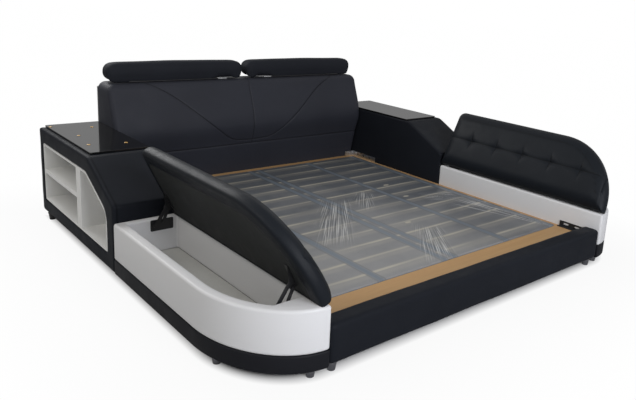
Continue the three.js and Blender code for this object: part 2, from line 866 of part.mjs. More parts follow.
function headboardBackPanel() {
  const half = bayHalf - fit;
  return block(-half, half, bedLength - head.backPanel, bedLength, footHeight, headTop - head.backPanelDrop);
}

// Headrests, drawn on the right: a bolster, its bar and two brackets

const restPivot = {
  y: bedLength - head.topDepth + rest.pivotSet,
  z: headTop + rest.pivotRise,
};
const restBottom = headTop + rest.lift;
const restInner = rest.middleGap / 2;
const innerHinge = restInner + rest.innerHingeInset;
const outerHinge = restInner + rest.length - rest.outerHingeInset;

function headrestCushion() {
  const stationShares = [0, 0.004, 0.018, 0.045, 0.09, 0.3, 0.5, 0.7, 0.91, 0.955, 0.982, 0.996, 1];
  const round = rest.facets;
  const middleY = bedLength - rest.rearSet;
  const middleZ = restBottom + rest.height / 2 - rest.sag;
  const points = [];
  const triangles = [];
  stationShares.forEach((share) => {
    const end = Math.min(share, 1 - share) * rest.length;
    const swell = Math.sqrt(Math.min(1 - (1 - Math.min(end / (rest.height / 2), 1)) ** 2, 1));
    const scale = rest.endShare + (1 - rest.endShare) * swell;
    for (let k = 0; k < round; k += 1) {
      const turn = (2 * Math.PI * k) / round;
      const [c, s] = [Math.cos(turn), Math.sin(turn)];
      const across = Math.sign(c) * Math.abs(c) ** rest.squareShare * scale;
      const up = Math.sign(s) * Math.abs(s) ** rest.squareShare * scale;
      points.push(
        restInner + share * rest.length,
        middleY + (across * rest.depth) / 2,
        middleZ + (up * rest.height) / 2,
      );
    }
  });
  const rings = stationShares.length;
  for (let j = 0; j < rings - 1; j += 1) {
    for (let k = 0; k < round; k += 1) {
      const [a, b] = [j * round + k, j * round + ((k + 1) % round)];
      triangles.push(a, b, b + round, a, b + round, a + round);
    }
  }
  for (let k = 1; k < round - 1; k += 1) {
    const far = (rings - 1) * round;
    triangles.push(0, k + 1, k, far, far + k, far + k + 1);
  }
  const geometry = new THREE.BufferGeometry();
  geometry.setAttribute('position', new THREE.BufferAttribute(Float32Array.from(points), 3));
  geometry.setIndex(triangles);
  const end = restInner + rest.length + overrun;
  const low = restBottom - rest.height;
  const under = block(0, end, middleY - rest.depth, middleY + rest.depth, low, restBottom + fit);
  return cut(geometry, under);
}

function headrestBracket(middle) {
  const half = rest.bracketLength / 2;
  const { y, z } = restPivot;
  const base = headTop + fit;
  const rear = y + rest.bracketDepth;
  const sheet = rest.bracketSheet;
  const leaf = polygon([
    [y, z - rest.barrel],
    [y + rest.barrel, base],
    [rear, base],
    [rear, base + sheet],
    [y + rest.barrel + sheet, base + sheet],
    [y, z],
  ]);
  return cut(
    join(
      prism(leaf, 'x', middle - half, middle + half),
      rod('x', rest.barrel, middle - half, middle + half, y, z),
    ),
    rod('x', rest.bore, middle - half - overrun, middle + half + overrun, y, z),
  );
}

function headrestBar() {
  const { y, z } = restPivot;
  const half = rest.bracketLength / 2;
  const top = restBottom;
  const sheet = rest.bracketSheet;
  const strapSection = polygon([
    [y, z - rest.rod],
    [y + rest.rod, z - rest.rod / 2],
    [y + 4 * rest.rod, top - sheet],
    [y + rest.strapLength, top - sheet],
    [y + rest.strapLength, top],
    [y + 2 * rest.rod, top],
    [y, z + rest.rod],
  ]);
  const strapStarts = [
    innerHinge + half + rest.strapGap,
    outerHinge - half - rest.strapGap - rest.strap,
  ];
  const from = innerHinge - half - rest.strapGap;
  const to = outerHinge + half + rest.strapGap;
  return join(
    rod('x', rest.rod, from, to, y, z, 12),
    ...strapStarts.map((x) => prism(strapSection, 'x', x, x + rest.strap)),
  );
}

// Base: foot rail, timber rails, slat frames and corner brackets

const bayFront = rail.depth + fit;
const bayRear = bedLength - head.lowDepth;
const halfSpan = bayHalf - fit;

function footRail() {
  const section = roundedRectangle(0, rail.depth, footHeight, rail.top, rail.edgeRound);
  const bar = prism(section, 'x', -halfSpan, halfSpan, rail.endRound, 4);
  const footX = bayHalf - rail.footInset;
  const feet = [-1, 1].map((side) => footAt(side * footX, foot.inset, footHeight + overrun));
  return join(bar, ...feet);
}

function batten(x0, x1, y0, y1) {
  const low = timber.top - timber.thickness;
  const outline = polygon([[x0, y0], [x1, y0], [x1, y1], [x0, y1]]);
  return prism(outline, 'z', low, timber.top, timber.edge);
}

const frameFront = bayFront + timber.footWidth + fit;
const frameRear = bayRear - timber.headWidth - fit;

function slatFrame() {
  const x0 = slats.centreGap / 2;
  const x1 = bayHalf - timber.sideWidth - slats.sideGap;
  const w = slats.tubeWidth;
  const low = timber.top - slats.tubeHeight;
  const outline = polygon([[x0, frameFront], [x1, frameFront], [x1, frameRear], [x0, frameRear]]);
  const [inner, outer, front, rear] = [x0 + w, x1 - w, frameFront + w, frameRear - w];
  const window = polygon([[inner, front], [inner, rear], [outer, rear], [outer, front]]);
  outline.holes.push(new THREE.Path(window.getPoints()));
  const middle = (x0 + x1) / 2;
  const pieces = [
    prism(outline, 'z', low, timber.top),
    block(middle - w / 2, middle + w / 2, frameFront + w / 2, frameRear - w / 2, low, timber.top),
  ];
  const top = timber.top - slats.drop - slats.bow;
  const first = front + slats.endGap;
  const pitch = (rear - slats.endGap - slats.width - first) / (slats.count - 1);
  const bays = [[inner, middle - w / 2], [middle + w / 2, outer]];
  for (const [from, to] of bays) {
    const half = (to - from) / 2;
    const slat = new THREE.Shape();
    const sink = slats.slatEnd;
    const under = top - slats.thickness;
    slat.moveTo(from - sink, under);
    slat.quadraticCurveTo(from + half, under + 2 * slats.bow, to + sink, under);
    slat.lineTo(to + sink, top);
    slat.quadraticCurveTo(from + half, top + 2 * slats.bow, from - sink, top);
    for (let k = 0; k < slats.count; k += 1) {
      const y = first + k * pitch;
      pieces.push(prism(slat, 'y', y, y + slats.width, 0, 4));
    }
  }
  for (const share of slats.legShares) {
    const y = frameFront + share * (frameRear - frameFront);
    pieces.push(rod('z', slats.legRadius, 0, low + overrun, x0 + w / 2, y));
  }
  return join(...pieces);
}

// Corner plate that ties the headboard to the side panel, right side
function cornerPlateHead() {
  const s = headBracket.sheet;
  const z0 = timber.top + fit;
  const z1 = z0 + headBracket.height;
  const outer = bayHalf - fit;
  const depthAtTop = Math.max(headDepth(z0), headDepth(z1)) + head.backPanel;
  const rear = bedLength - depthAtTop - headBracket.gap;
  const long = block(outer - s, outer, rear - headBracket.length, rear, z0, z1);
  const short = block(outer - headBracket.wing, outer, rear - s, rear, z0, z1);
  const pitch = headBracket.length / (headBracket.holes + 1);
  const holes = [];
  for (let k = 1; k <= headBracket.holes; k += 1) {
    const y = rear - k * pitch;
    holes.push(rod('x', headBracket.hole, outer - s - overrun, outer + overrun, y, (z0 + z1) / 2, 12));
  }
  return cut(join(long, short), ...holes);
}

// Slotted angle on top of the timber that ties the box to the foot rail, right side
function cornerPlateFoot() {
  const s = footBracket.sheet;
  const z0 = timber.top + fit;
  const outer = bayHalf - fit;
  const front = bayFront;
  const section = polygon([
    [outer - footBracket.flange, z0],
    [outer, z0],
    [outer, z0 + footBracket.height],
    [outer - s, z0 + footBracket.height],
    [outer - s, z0 + s],
    [outer - footBracket.flange, z0 + s],
  ]);
  const angle = prism(section, 'y', front, front + footBracket.length);
  const height = z0 + footBracket.height / 2 + s / 2;
  const reach = footBracket.slotLength / 2 - footBracket.slotHalf;
  const slots = footBracket.slotShares.map((share) => {
    const middle = front + share * footBracket.length;
    const ends = [-reach, reach].map((along) => new THREE.Vector2(middle + along, height));
    return prism(linkShape(ends, footBracket.slotHalf, []), 'x', outer - s - overrun, outer + overrun, 0, 3);
  });
  return cut(angle, ...slots);
}

// Assembly

const group = new THREE.Group();
const bed = new THREE.Group();
bed.position.y = -bedLength / 2;
group.add(bed);

function add(parent, name, geometry, look) {
  const mesh = new THREE.Mesh(geometry, new THREE.MeshStandardMaterial(look));
  mesh.name = name;
  parent.add(mesh);
  return mesh;
}

// The lid group turns about the swing centre, so its pieces are placed open, as at rest
function openLid(turn) {
  const tilted = new THREE.Group();
  const x = turn * swingCentre.x;
  tilted.position.set(x, 0, swingCentre.y);
  tilted.rotation.y = -turn * lid.openAngle;
  const held = new THREE.Group();
  held.position.set(-x, 0, -swingCentre.y);
  tilted.add(held);
  bed.add(tilted);
  return held;
}

const hingeEnds = [
  ['front', frontBlock, 1],
  ['rear', boxLength - box.rearWall, -1],
];

for (const [side, turn] of [['left', -1], ['right', 1]]) {
  const sided = (geometry) => (turn > 0 ? geometry : mirrored(geometry));
  const put = (name, geometry, look, parent = bed) => add(parent, `${side}_${name}`, sided(geometry), look);

  put('plinth', plinth(), finish.blackLeather);
  put('box_wall', boxWall(), finish.whiteLeather);
  put('box_floor', boxFloor(), finish.whiteBoard);

  const held = openLid(turn);
  put('lid_board', lidBoard(), finish.darkLining, held);
  put('lid_cushion', lidCushion(), finish.blackLeather, held);
  for (const [end, faceY, inward] of hingeEnds) {
    put(`${end}_plate`, liftPlate(faceY, inward), finish.blackSteel);
    put(`${end}_arm`, longArm(faceY, inward), finish.blackSteel);
    put(`${end}_link`, shortLink(faceY, inward), finish.blackSteel);
    put(`${end}_lid_bracket`, lidBracket(faceY, inward), finish.blackSteel, held);
  }

  put('unit_frame', unitFrame(), finish.blackLeather);
  put('bookcase', bookcase(), finish.whiteBoard);
  put('unit_cover', unitCover(), finish.blackLeather);
  put('unit_inner_panel', unitInnerPanel(), finish.blackLeather);
  put('unit_back_panel', unitBackPanel(), finish.darkLining);
  put('glass_top', glassTop(), finish.blackGlass);

  put('headrest_cushion', headrestCushion(), finish.blackLeather);
  put('headrest_bar', headrestBar(), finish.blackSteel);
  put('headrest_bracket_inner', headrestBracket(innerHinge), finish.brightSteel);
  put('headrest_bracket_outer', headrestBracket(outerHinge), finish.brightSteel);

  put('slat_frame', slatFrame(), finish.greySteel);
  put('timber_rail', batten(bayHalf - timber.sideWidth, halfSpan, frameFront, frameRear), finish.pine);
  put('head_bracket', cornerPlateHead(), finish.brightSteel);
  put('foot_bracket', cornerPlateFoot(), finish.blackSteel);
}

add(bed, 'headboard_pad', headboardPad(), finish.blackLeather);
add(bed, 'headboard_back_panel', headboardBackPanel(), finish.darkLining);
add(bed, 'foot_rail', footRail(), finish.blackLeather);
add(bed, 'foot_timber_rail', batten(-halfSpan, halfSpan, bayFront, frameFront - fit), finish.pine);
add(bed, 'head_timber_rail', batten(-halfSpan, halfSpan, frameRear + fit, bayRear - fit), finish.pine);

export default group;
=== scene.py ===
# %% [markdown]
# # A leather bed with storage along both sides
#
# The bed comes as a fixed construction: every board, hinge and rail at its real size, joined where
# the real one moves. This lesson dresses it: soft leather over foam, timber, steel, glass and the
# thin film that still lies over the slats. First the construction is loaded.

# %% Load the construction
import math

import bmesh
import bpy
from mathutils import Matrix, Vector, noise


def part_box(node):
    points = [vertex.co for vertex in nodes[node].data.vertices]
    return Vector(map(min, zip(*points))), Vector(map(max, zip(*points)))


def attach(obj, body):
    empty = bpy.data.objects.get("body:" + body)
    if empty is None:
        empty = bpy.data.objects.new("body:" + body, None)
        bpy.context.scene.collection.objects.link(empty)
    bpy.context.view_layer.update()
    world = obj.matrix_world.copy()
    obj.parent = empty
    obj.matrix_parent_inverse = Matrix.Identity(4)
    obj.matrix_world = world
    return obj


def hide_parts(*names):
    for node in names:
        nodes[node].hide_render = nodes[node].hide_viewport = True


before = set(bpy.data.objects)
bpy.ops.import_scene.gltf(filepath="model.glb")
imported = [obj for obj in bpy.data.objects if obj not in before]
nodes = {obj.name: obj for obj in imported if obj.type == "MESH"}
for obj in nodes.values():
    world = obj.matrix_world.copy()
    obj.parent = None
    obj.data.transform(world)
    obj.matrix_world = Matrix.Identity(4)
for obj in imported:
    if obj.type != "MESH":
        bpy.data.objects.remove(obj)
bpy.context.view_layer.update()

sides = {"left": -1, "right": 1}

# %% [markdown]
# ## The camera
#
# The photograph was taken from the left of the bed's foot, standing, with a moderate wide lens. The
# camera could be found by eye, but here it was solved from corners whose real places are known, so it
# is set by three turns, a place and a focal length. The picture was cropped off centre, which is what
# the two small shifts are for.

# %% Camera
camera_place = Vector((-2.2573, -2.7812, 1.3520))
camera_turn = math.radians(-42.53)
camera_dip = math.radians(-13.19)
camera_roll = math.radians(3.66)

camera_data = bpy.data.cameras.new("camera")
camera_data.sensor_width = 36
camera_data.lens = 37.06
camera_data.shift_x = -0.0927
camera_data.shift_y = -0.0788
camera = bpy.data.objects.new("camera", camera_data)
bpy.context.scene.collection.objects.link(camera)
camera.matrix_world = (
    Matrix.Translation(camera_place)
    @ Matrix.Rotation(camera_turn, 4, "Z")
    @ Matrix.Rotation(math.radians(90) + camera_dip, 4, "X")
    @ Matrix.Rotation(camera_roll, 4, "Z")
)
bpy.context.scene.camera = camera
print("camera looks along", camera.matrix_world.to_3x3() @ Vector((0, 0, -1)))

# %% [markdown]
# ## Nodes in few words
#
# The surround and all materials are built from nodes. Four short helpers cover nearly every case: a
# node with its values, a sum, a change of range and a mix of two colours. Each takes numbers or links.

# %% Node helpers


def node(tree, kind, values=None, **settings):
    """Adds a node, sets its properties and its unlinked sockets."""
    made = tree.nodes.new(kind)
    for key, value in settings.items():
        setattr(made, key, value)
    for key, value in (values or {}).items():
        made.inputs[key].default_value = value
    return made


def feed(tree, socket, value):
    """Sets a socket to a constant, or links it to another node's output."""
    if isinstance(value, bpy.types.NodeSocket):
        tree.links.new(value, socket)
    else:
        socket.default_value = value


def calc(tree, operation, *values):
    """A math node's result from numbers and links."""
    made = node(tree, "ShaderNodeMath", operation=operation)
    for socket, value in zip(made.inputs, values):
        feed(tree, socket, value)
    return made.outputs[0]


def remap(tree, source, start, end, low=0.0, high=1.0, **settings):
    """Takes a value's range from start to end to the range from low to high."""
    ends = {"From Min": start, "From Max": end, "To Min": low, "To Max": high}
    made = node(tree, "ShaderNodeMapRange", ends, **settings)
    tree.links.new(source, made.inputs["Value"])
    return made.outputs["Result"]


def colour_mix(tree, factor, low, high):
    """Mixes two colours, each of them a constant or a link."""
    mix = node(tree, "ShaderNodeMix", data_type="RGBA")
    tree.links.new(factor, mix.inputs["Factor"])
    for socket, colour in ((mix.inputs[6], low), (mix.inputs[7], high)):
        feed(tree, socket, (*colour, 1) if isinstance(colour, tuple) else colour)
    return mix.outputs[2]


print("node helpers ready")

# %% [markdown]
# ## Studio
#
# A product photograph on white has a bright surround and soft lamps that give the forms a lit and a
# shaded side. The main lamp stands low in front of the bed's foot, a little to the left, so the white
# leather is brightest on the foot side and greyer along the left side. A weak warm lamp lights the left
# side from above, and one behind the headboard picks out rims. What the leather and the glass mirror is
# brightest at half height: the surround is dimmer low down, which keeps the black tops black.

# %% Studio light
world = bpy.data.worlds.new("studio")
bpy.context.scene.world = world
world.use_nodes = True
tree = world.node_tree
tree.nodes.clear()
surround = node(tree, "ShaderNodeBackground", {"Color": (1, 1, 1, 1), "Strength": 1.0})
walls = node(tree, "ShaderNodeBackground")
ambient = node(tree, "ShaderNodeBackground", {"Color": (1, 1, 0.985, 1)})
height = node(tree, "ShaderNodeSeparateXYZ")
tree.links.new(node(tree, "ShaderNodeTexCoord").outputs["Generated"], height.inputs[0])


def ramp(start, end, low, high):
    """A strength that goes from one value to another between two heights of the surround."""
    return remap(tree, height.outputs["Z"], start, end, low, high, interpolation_type="SMOOTHSTEP")


strength = calc(tree, "MINIMUM", ramp(0.04, 0.38, 0.35, 1.0), ramp(0.60, 0.90, 1.0, 0.85))
tree.links.new(strength, walls.inputs["Strength"])
tree.links.new(ramp(0.12, 0.62, 0.34, 0.22), ambient.inputs["Strength"])


def either(factor, first, second):
    """Mixes two shaders of the surround."""
    made = tree.nodes.new("ShaderNodeMixShader")
    for socket, source in zip(made.inputs, (factor, first, second)):
        tree.links.new(source, socket)
    return made.outputs[0]


path = tree.nodes.new("ShaderNodeLightPath").outputs
mirrored = calc(tree, "MAXIMUM", path["Is Glossy Ray"], path["Is Transmission Ray"])
lit_or_mirrored = either(mirrored, ambient.outputs[0], walls.outputs[0])
choice = either(path["Is Camera Ray"], lit_or_mirrored, surround.outputs[0])
world_out = tree.nodes.new("ShaderNodeOutputWorld")
tree.links.new(choice, world_out.inputs["Surface"])
bpy.context.scene.view_settings.view_transform = "Standard"


def soft_lamp(name, place, target, size, watts, colour=(1, 1, 1)):
    """A square soft lamp at a place, turned towards a target."""
    data = bpy.data.lights.new(name, "AREA")
    data.size = size
    data.energy = watts
    data.color = colour
    lamp = bpy.data.objects.new(name, data)
    bpy.context.scene.collection.objects.link(lamp)
    lamp.location = place
    aim = Vector(target) - Vector(place)
    lamp.rotation_euler = aim.to_track_quat("-Z", "Y").to_euler()
    return lamp


soft_lamp("foot_lamp", (-0.7, -5.0, 2.3), (0, 0, 0.3), 2.4, 174, (0.935, 0.95, 1))
soft_lamp("left_lamp", (-3.6, -0.4, 3.4), (-0.6, 0.2, 0.2), 1.8, 40, (1, 0.965, 0.90))
soft_lamp("rear_lamp", (-1.2, 2.5, 2.3), (-1.15, 0.0, 0.6), 1.4, 40)
print("three lamps and a white surround")

# %% [markdown]
# ## Small tools
#
# The same few moves come back all the time, so they get short names: pick one piece, choose faces or
# edges by a test, apply a modifier, and say which body carries the finished piece. Everything is
# deselected first, because an operator acts on all that is selected.

# %% Tools for modelling


def deselect():
    bpy.ops.object.select_all(action="DESELECT")


def take(piece):
    """Makes a piece the only selected one."""
    deselect()
    piece.select_set(True)
    bpy.context.view_layer.objects.active = piece
    return piece


def new_piece(name):
    """Names the primitive that was just added and fixes its place in its mesh."""
    piece = bpy.context.active_object
    piece.name = name
    piece.data.name = name
    take(piece)
    bpy.ops.object.transform_apply(location=True, rotation=True, scale=True)
    return piece


def edit(piece, mode="FACE"):
    take(piece)
    bpy.ops.object.mode_set(mode="EDIT")
    bpy.ops.mesh.select_mode(type=mode)
    bpy.ops.mesh.select_all(action="DESELECT")


def leave():
    bpy.ops.object.mode_set(mode="OBJECT")


def choose(piece, kind, test):
    """Selects the faces, edges or verts that pass a test, in edit mode."""
    mesh = bmesh.from_edit_mesh(piece.data)
    count = 0
    for element in getattr(mesh, kind):
        if test(element):
            element.select_set(True)
            count += 1
    mesh.select_flush_mode()
    bmesh.update_edit_mesh(piece.data)
    return count


def modify(piece, kind, **settings):
    """Adds a modifier with its settings and applies it."""
    take(piece)
    modifier = piece.modifiers.new(kind.lower(), kind)
    for key, value in settings.items():
        setattr(modifier, key, value)
    bpy.ops.object.modifier_apply(modifier=modifier.name)
    return piece


def soften(piece, width, segments=4, angle=40):
    """Rounds every edge that is sharper than an angle."""
    return modify(
        piece,
        "BEVEL",
        width=width,
        segments=segments,
        limit_method="ANGLE",
        angle_limit=math.radians(angle),
    )


def smooth(piece, angle=40):
    take(piece)
    bpy.ops.object.shade_smooth_by_angle(angle=math.radians(angle))
    return piece


def ripple(piece, depth, scale):
    """Pushes every point in or out a little, as slack leather over foam does."""
    normals = [vertex.normal.copy() for vertex in piece.data.vertices]
    for vertex, normal in zip(piece.data.vertices, normals):
        place = Vector(v * k for v, k in zip(vertex.co, scale))
        vertex.co += normal * (depth * noise.noise(place))
    return piece


def box_piece(name, low, high):
    """A plain box between two corners, as a start for a piece."""
    low, high = Vector(low), Vector(high)
    deselect()
    bpy.ops.mesh.primitive_cube_add(size=1, location=(low + high) / 2)
    bpy.context.active_object.scale = high - low
    return new_piece(name)


def flipped(piece, name):
    """A mirrored copy across the bed's middle, with its faces pointing out again."""
    twin = piece.copy()
    twin.data = piece.data.copy()
    bpy.context.scene.collection.objects.link(twin)
    twin.name = name
    twin.data.name = name
    twin.data.transform(Matrix.Scale(-1, 4, (1, 0, 0)))
    twin.data.flip_normals()
    return twin


def join_pieces(pieces, name):
    deselect()
    for piece in pieces:
        piece.select_set(True)
    bpy.context.view_layer.objects.active = pieces[0]
    bpy.ops.object.join()
    pieces[0].name = name
    pieces[0].data.name = name
    return pieces[0]


def mark_seams(piece, nearness):
    """Keeps for every point how near it is to a sewn line, from 0 to 1, where the leather takes painted
    shade.
    """
    marks = piece.data.attributes.new("seam", "FLOAT", "POINT")
    marks.data.foreach_set("value", [nearness(v.co, v.normal) for v in piece.data.vertices])
    return piece


def finish_piece(piece, body, material, slot, replaced=()):
    """Gives a piece its material and its body, and hides the construction nodes that it stands for; its slot
    is not used.
    """
    piece.data.materials.clear()
    piece.data.materials.append(material)
    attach(piece, body)
    if replaced:
        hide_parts(*replaced)
    return piece


print("tools ready")

# %% [markdown]
# ## Shared surface effects
#
# Leather, timber and cloth all need fine relief. The same three effects serve many materials, so each
# is a node group: a pebbled grain with slow unevenness for leather, long fibres for timber, and a
# crossed weave for lining. A group only gives out values, and each material decides what to do with
# them.

# %% Node groups


def group_with(name, inputs, outputs):
    tree = bpy.data.node_groups.new(name, "ShaderNodeTree")
    for socket, kind, value in inputs:
        made = tree.interface.new_socket(name=socket, in_out="INPUT", socket_type=kind)
        if value is not None:
            made.default_value = value
    for socket, kind in outputs:
        tree.interface.new_socket(name=socket, in_out="OUTPUT", socket_type=kind)
    return tree, tree.nodes.new("NodeGroupInput"), tree.nodes.new("NodeGroupOutput")


def wired(tree, kind, links, values=None, **settings):
    """A node with some of its sockets linked."""
    made = node(tree, kind, values, **settings)
    for socket, source in links.items():
        tree.links.new(source, made.inputs[socket])
    return made


def make_grain():
    tree, given, out = group_with(
        "leather_grain",
        [
            ("Vector", "NodeSocketVector", None),
            ("Pebble", "NodeSocketFloat", 420.0),
            ("Crease", "NodeSocketFloat", 9.0),
        ],
        [("Height", "NodeSocketFloat"), ("Slow", "NodeSocketFloat"), ("Worn", "NodeSocketFloat")],
    )
    source = given.outputs
    pebble_links = {"Vector": source["Vector"], "Scale": source["Pebble"]}
    crease_links = {"Vector": source["Vector"], "Scale": source["Crease"]}
    rough = {"Detail": 5.0, "Roughness": 0.62, "Distortion": 0.6}
    pebble = wired(tree, "ShaderNodeTexVoronoi", pebble_links, feature="SMOOTH_F1")
    pebble.inputs["Smoothness"].default_value = 0.6
    crease = wired(tree, "ShaderNodeTexNoise", crease_links, rough).outputs["Fac"]
    slow = wired(tree, "ShaderNodeTexNoise", {"Vector": source["Vector"]}, {"Scale": 2.4, "Detail": 3.0})
    height = calc(tree, "MULTIPLY_ADD", pebble.outputs["Distance"], 0.22, crease)
    tree.links.new(height, out.inputs["Height"])
    tree.links.new(slow.outputs["Fac"], out.inputs["Slow"])
    tree.links.new(remap(tree, crease, 0.44, 0.68), out.inputs["Worn"])
    return tree


def make_fibre():
    tree, given, out = group_with(
        "timber_fibre",
        [("Vector", "NodeSocketVector", None), ("Rings", "NodeSocketFloat", 18.0)],
        [("Rings", "NodeSocketFloat"), ("Fibre", "NodeSocketFloat"), ("Height", "NodeSocketFloat")],
    )
    vector = given.outputs["Vector"]
    ring_links = {"Vector": vector, "Scale": given.outputs["Rings"]}
    uneven = {"Distortion": 5.0, "Detail": 3.0, "Detail Scale": 0.6}
    rings = wired(tree, "ShaderNodeTexWave", ring_links, uneven, wave_type="BANDS", bands_direction="Z")
    fine = {"Scale": 160.0, "Detail": 4.0, "Roughness": 0.7}
    fibre = wired(tree, "ShaderNodeTexNoise", {"Vector": vector}, fine).outputs["Fac"]
    tree.links.new(rings.outputs["Fac"], out.inputs["Rings"])
    tree.links.new(fibre, out.inputs["Fibre"])
    tree.links.new(calc(tree, "MULTIPLY_ADD", rings.outputs["Fac"], 0.4, fibre), out.inputs["Height"])
    return tree


def make_weave():
    tree, given, out = group_with(
        "lining_weave",
        [("Vector", "NodeSocketVector", None), ("Threads", "NodeSocketFloat", 900.0)],
        [("Height", "NodeSocketFloat"), ("Fuzz", "NodeSocketFloat")],
    )
    links = {"Vector": given.outputs["Vector"], "Scale": given.outputs["Threads"]}
    waves = [
        wired(tree, "ShaderNodeTexWave", links, {"Distortion": 0.4}, bands_direction=direction).outputs["Fac"]
        for direction in ("X", "Y")
    ]
    loose = {"Scale": 14.0, "Detail": 6.0, "Roughness": 0.7}
    fuzz = wired(tree, "ShaderNodeTexNoise", {"Vector": given.outputs["Vector"]}, loose)
    tree.links.new(calc(tree, "MAXIMUM", *waves), out.inputs["Height"])
    tree.links.new(fuzz.outputs["Fac"], out.inputs["Fuzz"])
    return tree


grain_group, fibre_group, weave_group = make_grain(), make_fibre(), make_weave()
print("groups", [g.name for g in (grain_group, fibre_group, weave_group)])

# %% [markdown]
# ## Materials
#
# The leather is a coated one: nearly black with a cool cast, a broad soft gloss and slow unevenness in
# both, with painted shade along its sewn lines. Lighter copies of the black leather carry painted light
# on the headboard and the headrests, and darker copies carry painted shade on the lids and the plinths.
# The white leather is the same hide in a pale finish. Constant numbers sit on the shader itself, and
# only what varies over the surface is linked.

# %% Material helpers


def material_with(name, **constants):
    """A material with one Principled shader, its constants and an object-coordinate source."""
    material = bpy.data.materials.new(name)
    material.use_nodes = True
    tree = material.node_tree
    shader = tree.nodes["Principled BSDF"]
    for key, value in constants.items():
        shader.inputs[key.replace("_", " ")].default_value = value
    place = tree.nodes.new("ShaderNodeTexCoord")
    return material, tree, shader, place.outputs["Object"]


def spread(tree, factor, low, high):
    """Maps a 0 to 1 value to a range."""
    return remap(tree, factor, 0.0, 1.0, low, high)


def bump(tree, shader, height, strength, distance):
    made = node(tree, "ShaderNodeBump", {"Strength": strength, "Distance": distance})
    tree.links.new(height, made.inputs["Height"])
    tree.links.new(made.outputs["Normal"], shader.inputs["Normal"])


def surface(tree, shader, colour, roughness, relief=None):
    """Links what varies over a surface: its colour, its roughness and its relief."""
    tree.links.new(colour, shader.inputs["Base Color"])
    tree.links.new(roughness, shader.inputs["Roughness"])
    if relief:
        bump(tree, shader, *relief)


def leather(name, dark, light, gloss, crease=9.0, depth=0.0016, specular=0.2):
    """Coated hide: pebbled and unevenly glossy, with painted shade along its sewn lines."""
    material, tree, shader, place = material_with(name, Specular_IOR_Level=specular)
    grain = node(tree, "ShaderNodeGroup", node_tree=grain_group)
    grain.inputs["Crease"].default_value = crease
    tree.links.new(place, grain.inputs["Vector"])
    hide = colour_mix(tree, grain.outputs["Slow"], dark, light)
    # Painted shade in the grooves of the sewn lines, as strong as the seam attribute says.
    sewn = node(tree, "ShaderNodeAttribute", attribute_name="seam")
    seam_shade = tuple(0.2 * c for c in dark)
    colour = colour_mix(tree, sewn.outputs["Fac"], hide, seam_shade)
    roughness, relief = spread(tree, grain.outputs["Worn"], *gloss), (grain.outputs["Height"], 0.5, depth)
    surface(tree, shader, colour, roughness, relief)
    return material


# %% Leathers
# All black pieces are one hide: the headboard and headrest copies below are lighter, as painted light, and
# the lid and plinth copies are darker, as painted shade.
deep = (6.0, 0.0022)
black_leather = leather(
    "black_leather", (0.009, 0.010, 0.013), (0.014, 0.016, 0.021), (0.52, 0.44), specular=0.05
)
soft_black_shaded = leather(
    "black_leather_soft_shaded", (0.006, 0.0075, 0.010), (0.010, 0.0125, 0.017), (0.50, 0.40), *deep, 0.12
)
plinth_black_shaded = leather(
    "black_leather_plinth_shaded", (0.007, 0.0075, 0.0095), (0.013, 0.0135, 0.017), (0.54, 0.46), specular=0.10
)
head_black_lit = leather(
    "black_leather_head_lit", (0.019, 0.020, 0.026), (0.029, 0.031, 0.041), (0.56, 0.46), *deep, 0.16
)
rest_black_lit = leather(
    "black_leather_rest_lit", (0.014, 0.015, 0.019), (0.023, 0.025, 0.031), (0.60, 0.52), *deep, 0.04
)
lid_lining = leather(
    "lid_lining", (0.020, 0.021, 0.021), (0.030, 0.032, 0.032), (0.62, 0.55), 12.0, 0.0010, 0.12
)
white_leather = leather(
    "white_leather", (0.66, 0.66, 0.67), (0.71, 0.71, 0.72), (0.46, 0.38), 7.0, 0.0012, 0.3
)
print("leathers", black_leather.name, soft_black_shaded.name, white_leather.name)

# %% Lining, boards and timber


def speckle(tree, place, scale, detail, **more):
    """Plain noise over a piece."""
    made = node(tree, "ShaderNodeTexNoise", {"Scale": scale, "Detail": detail, **more})
    tree.links.new(place, made.inputs["Vector"])
    return made.outputs["Fac"]


def lining(name, dark, light):
    material, tree, shader, place = material_with(name, Sheen_Weight=0.25, Sheen_Roughness=0.5)
    weave = wired(tree, "ShaderNodeGroup", {"Vector": place}, node_tree=weave_group)
    fuzz, relief = weave.outputs["Fuzz"], (weave.outputs["Height"], 0.35, 0.0006)
    surface(tree, shader, colour_mix(tree, fuzz, dark, light), spread(tree, fuzz, 0.85, 0.7), relief)
    return material


def timber(name, axis, dark, light):
    """Bare softwood, with its fibres along one axis."""
    material, tree, shader, place = material_with(name)
    stretch = node(tree, "ShaderNodeMapping")
    shares = {"X": (0.06, 1, 1), "Y": (1, 0.06, 1), "Z": (1, 1, 0.06)}
    stretch.inputs["Scale"].default_value = shares[axis]
    tree.links.new(place, stretch.inputs["Vector"])
    fibre = node(tree, "ShaderNodeGroup", node_tree=fibre_group)
    tree.links.new(stretch.outputs["Vector"], fibre.inputs["Vector"])
    rings = spread(tree, fibre.outputs["Rings"], 0.0, 0.5)
    both = calc(tree, "MULTIPLY_ADD", fibre.outputs["Fibre"], 0.55, rings)
    roughness, relief = spread(tree, fibre.outputs["Fibre"], 0.5, 0.68), fibre.outputs["Height"]
    surface(tree, shader, colour_mix(tree, both, dark, light), roughness, (relief, 0.3, 0.0008))
    return material


def board(name, colour):
    """White faced board: a very fine orange-peel surface with faint handling marks."""
    material, tree, shader, place = material_with(name)
    peel = speckle(tree, place, 90.0, 2.0)
    marks = speckle(tree, place, 5.0, 5.0)
    dull = tuple(0.94 * c for c in colour)
    roughness = spread(tree, marks, 0.32, 0.46)
    surface(tree, shader, colour_mix(tree, marks, dull, colour), roughness, (peel, 0.12, 0.0004))
    return material


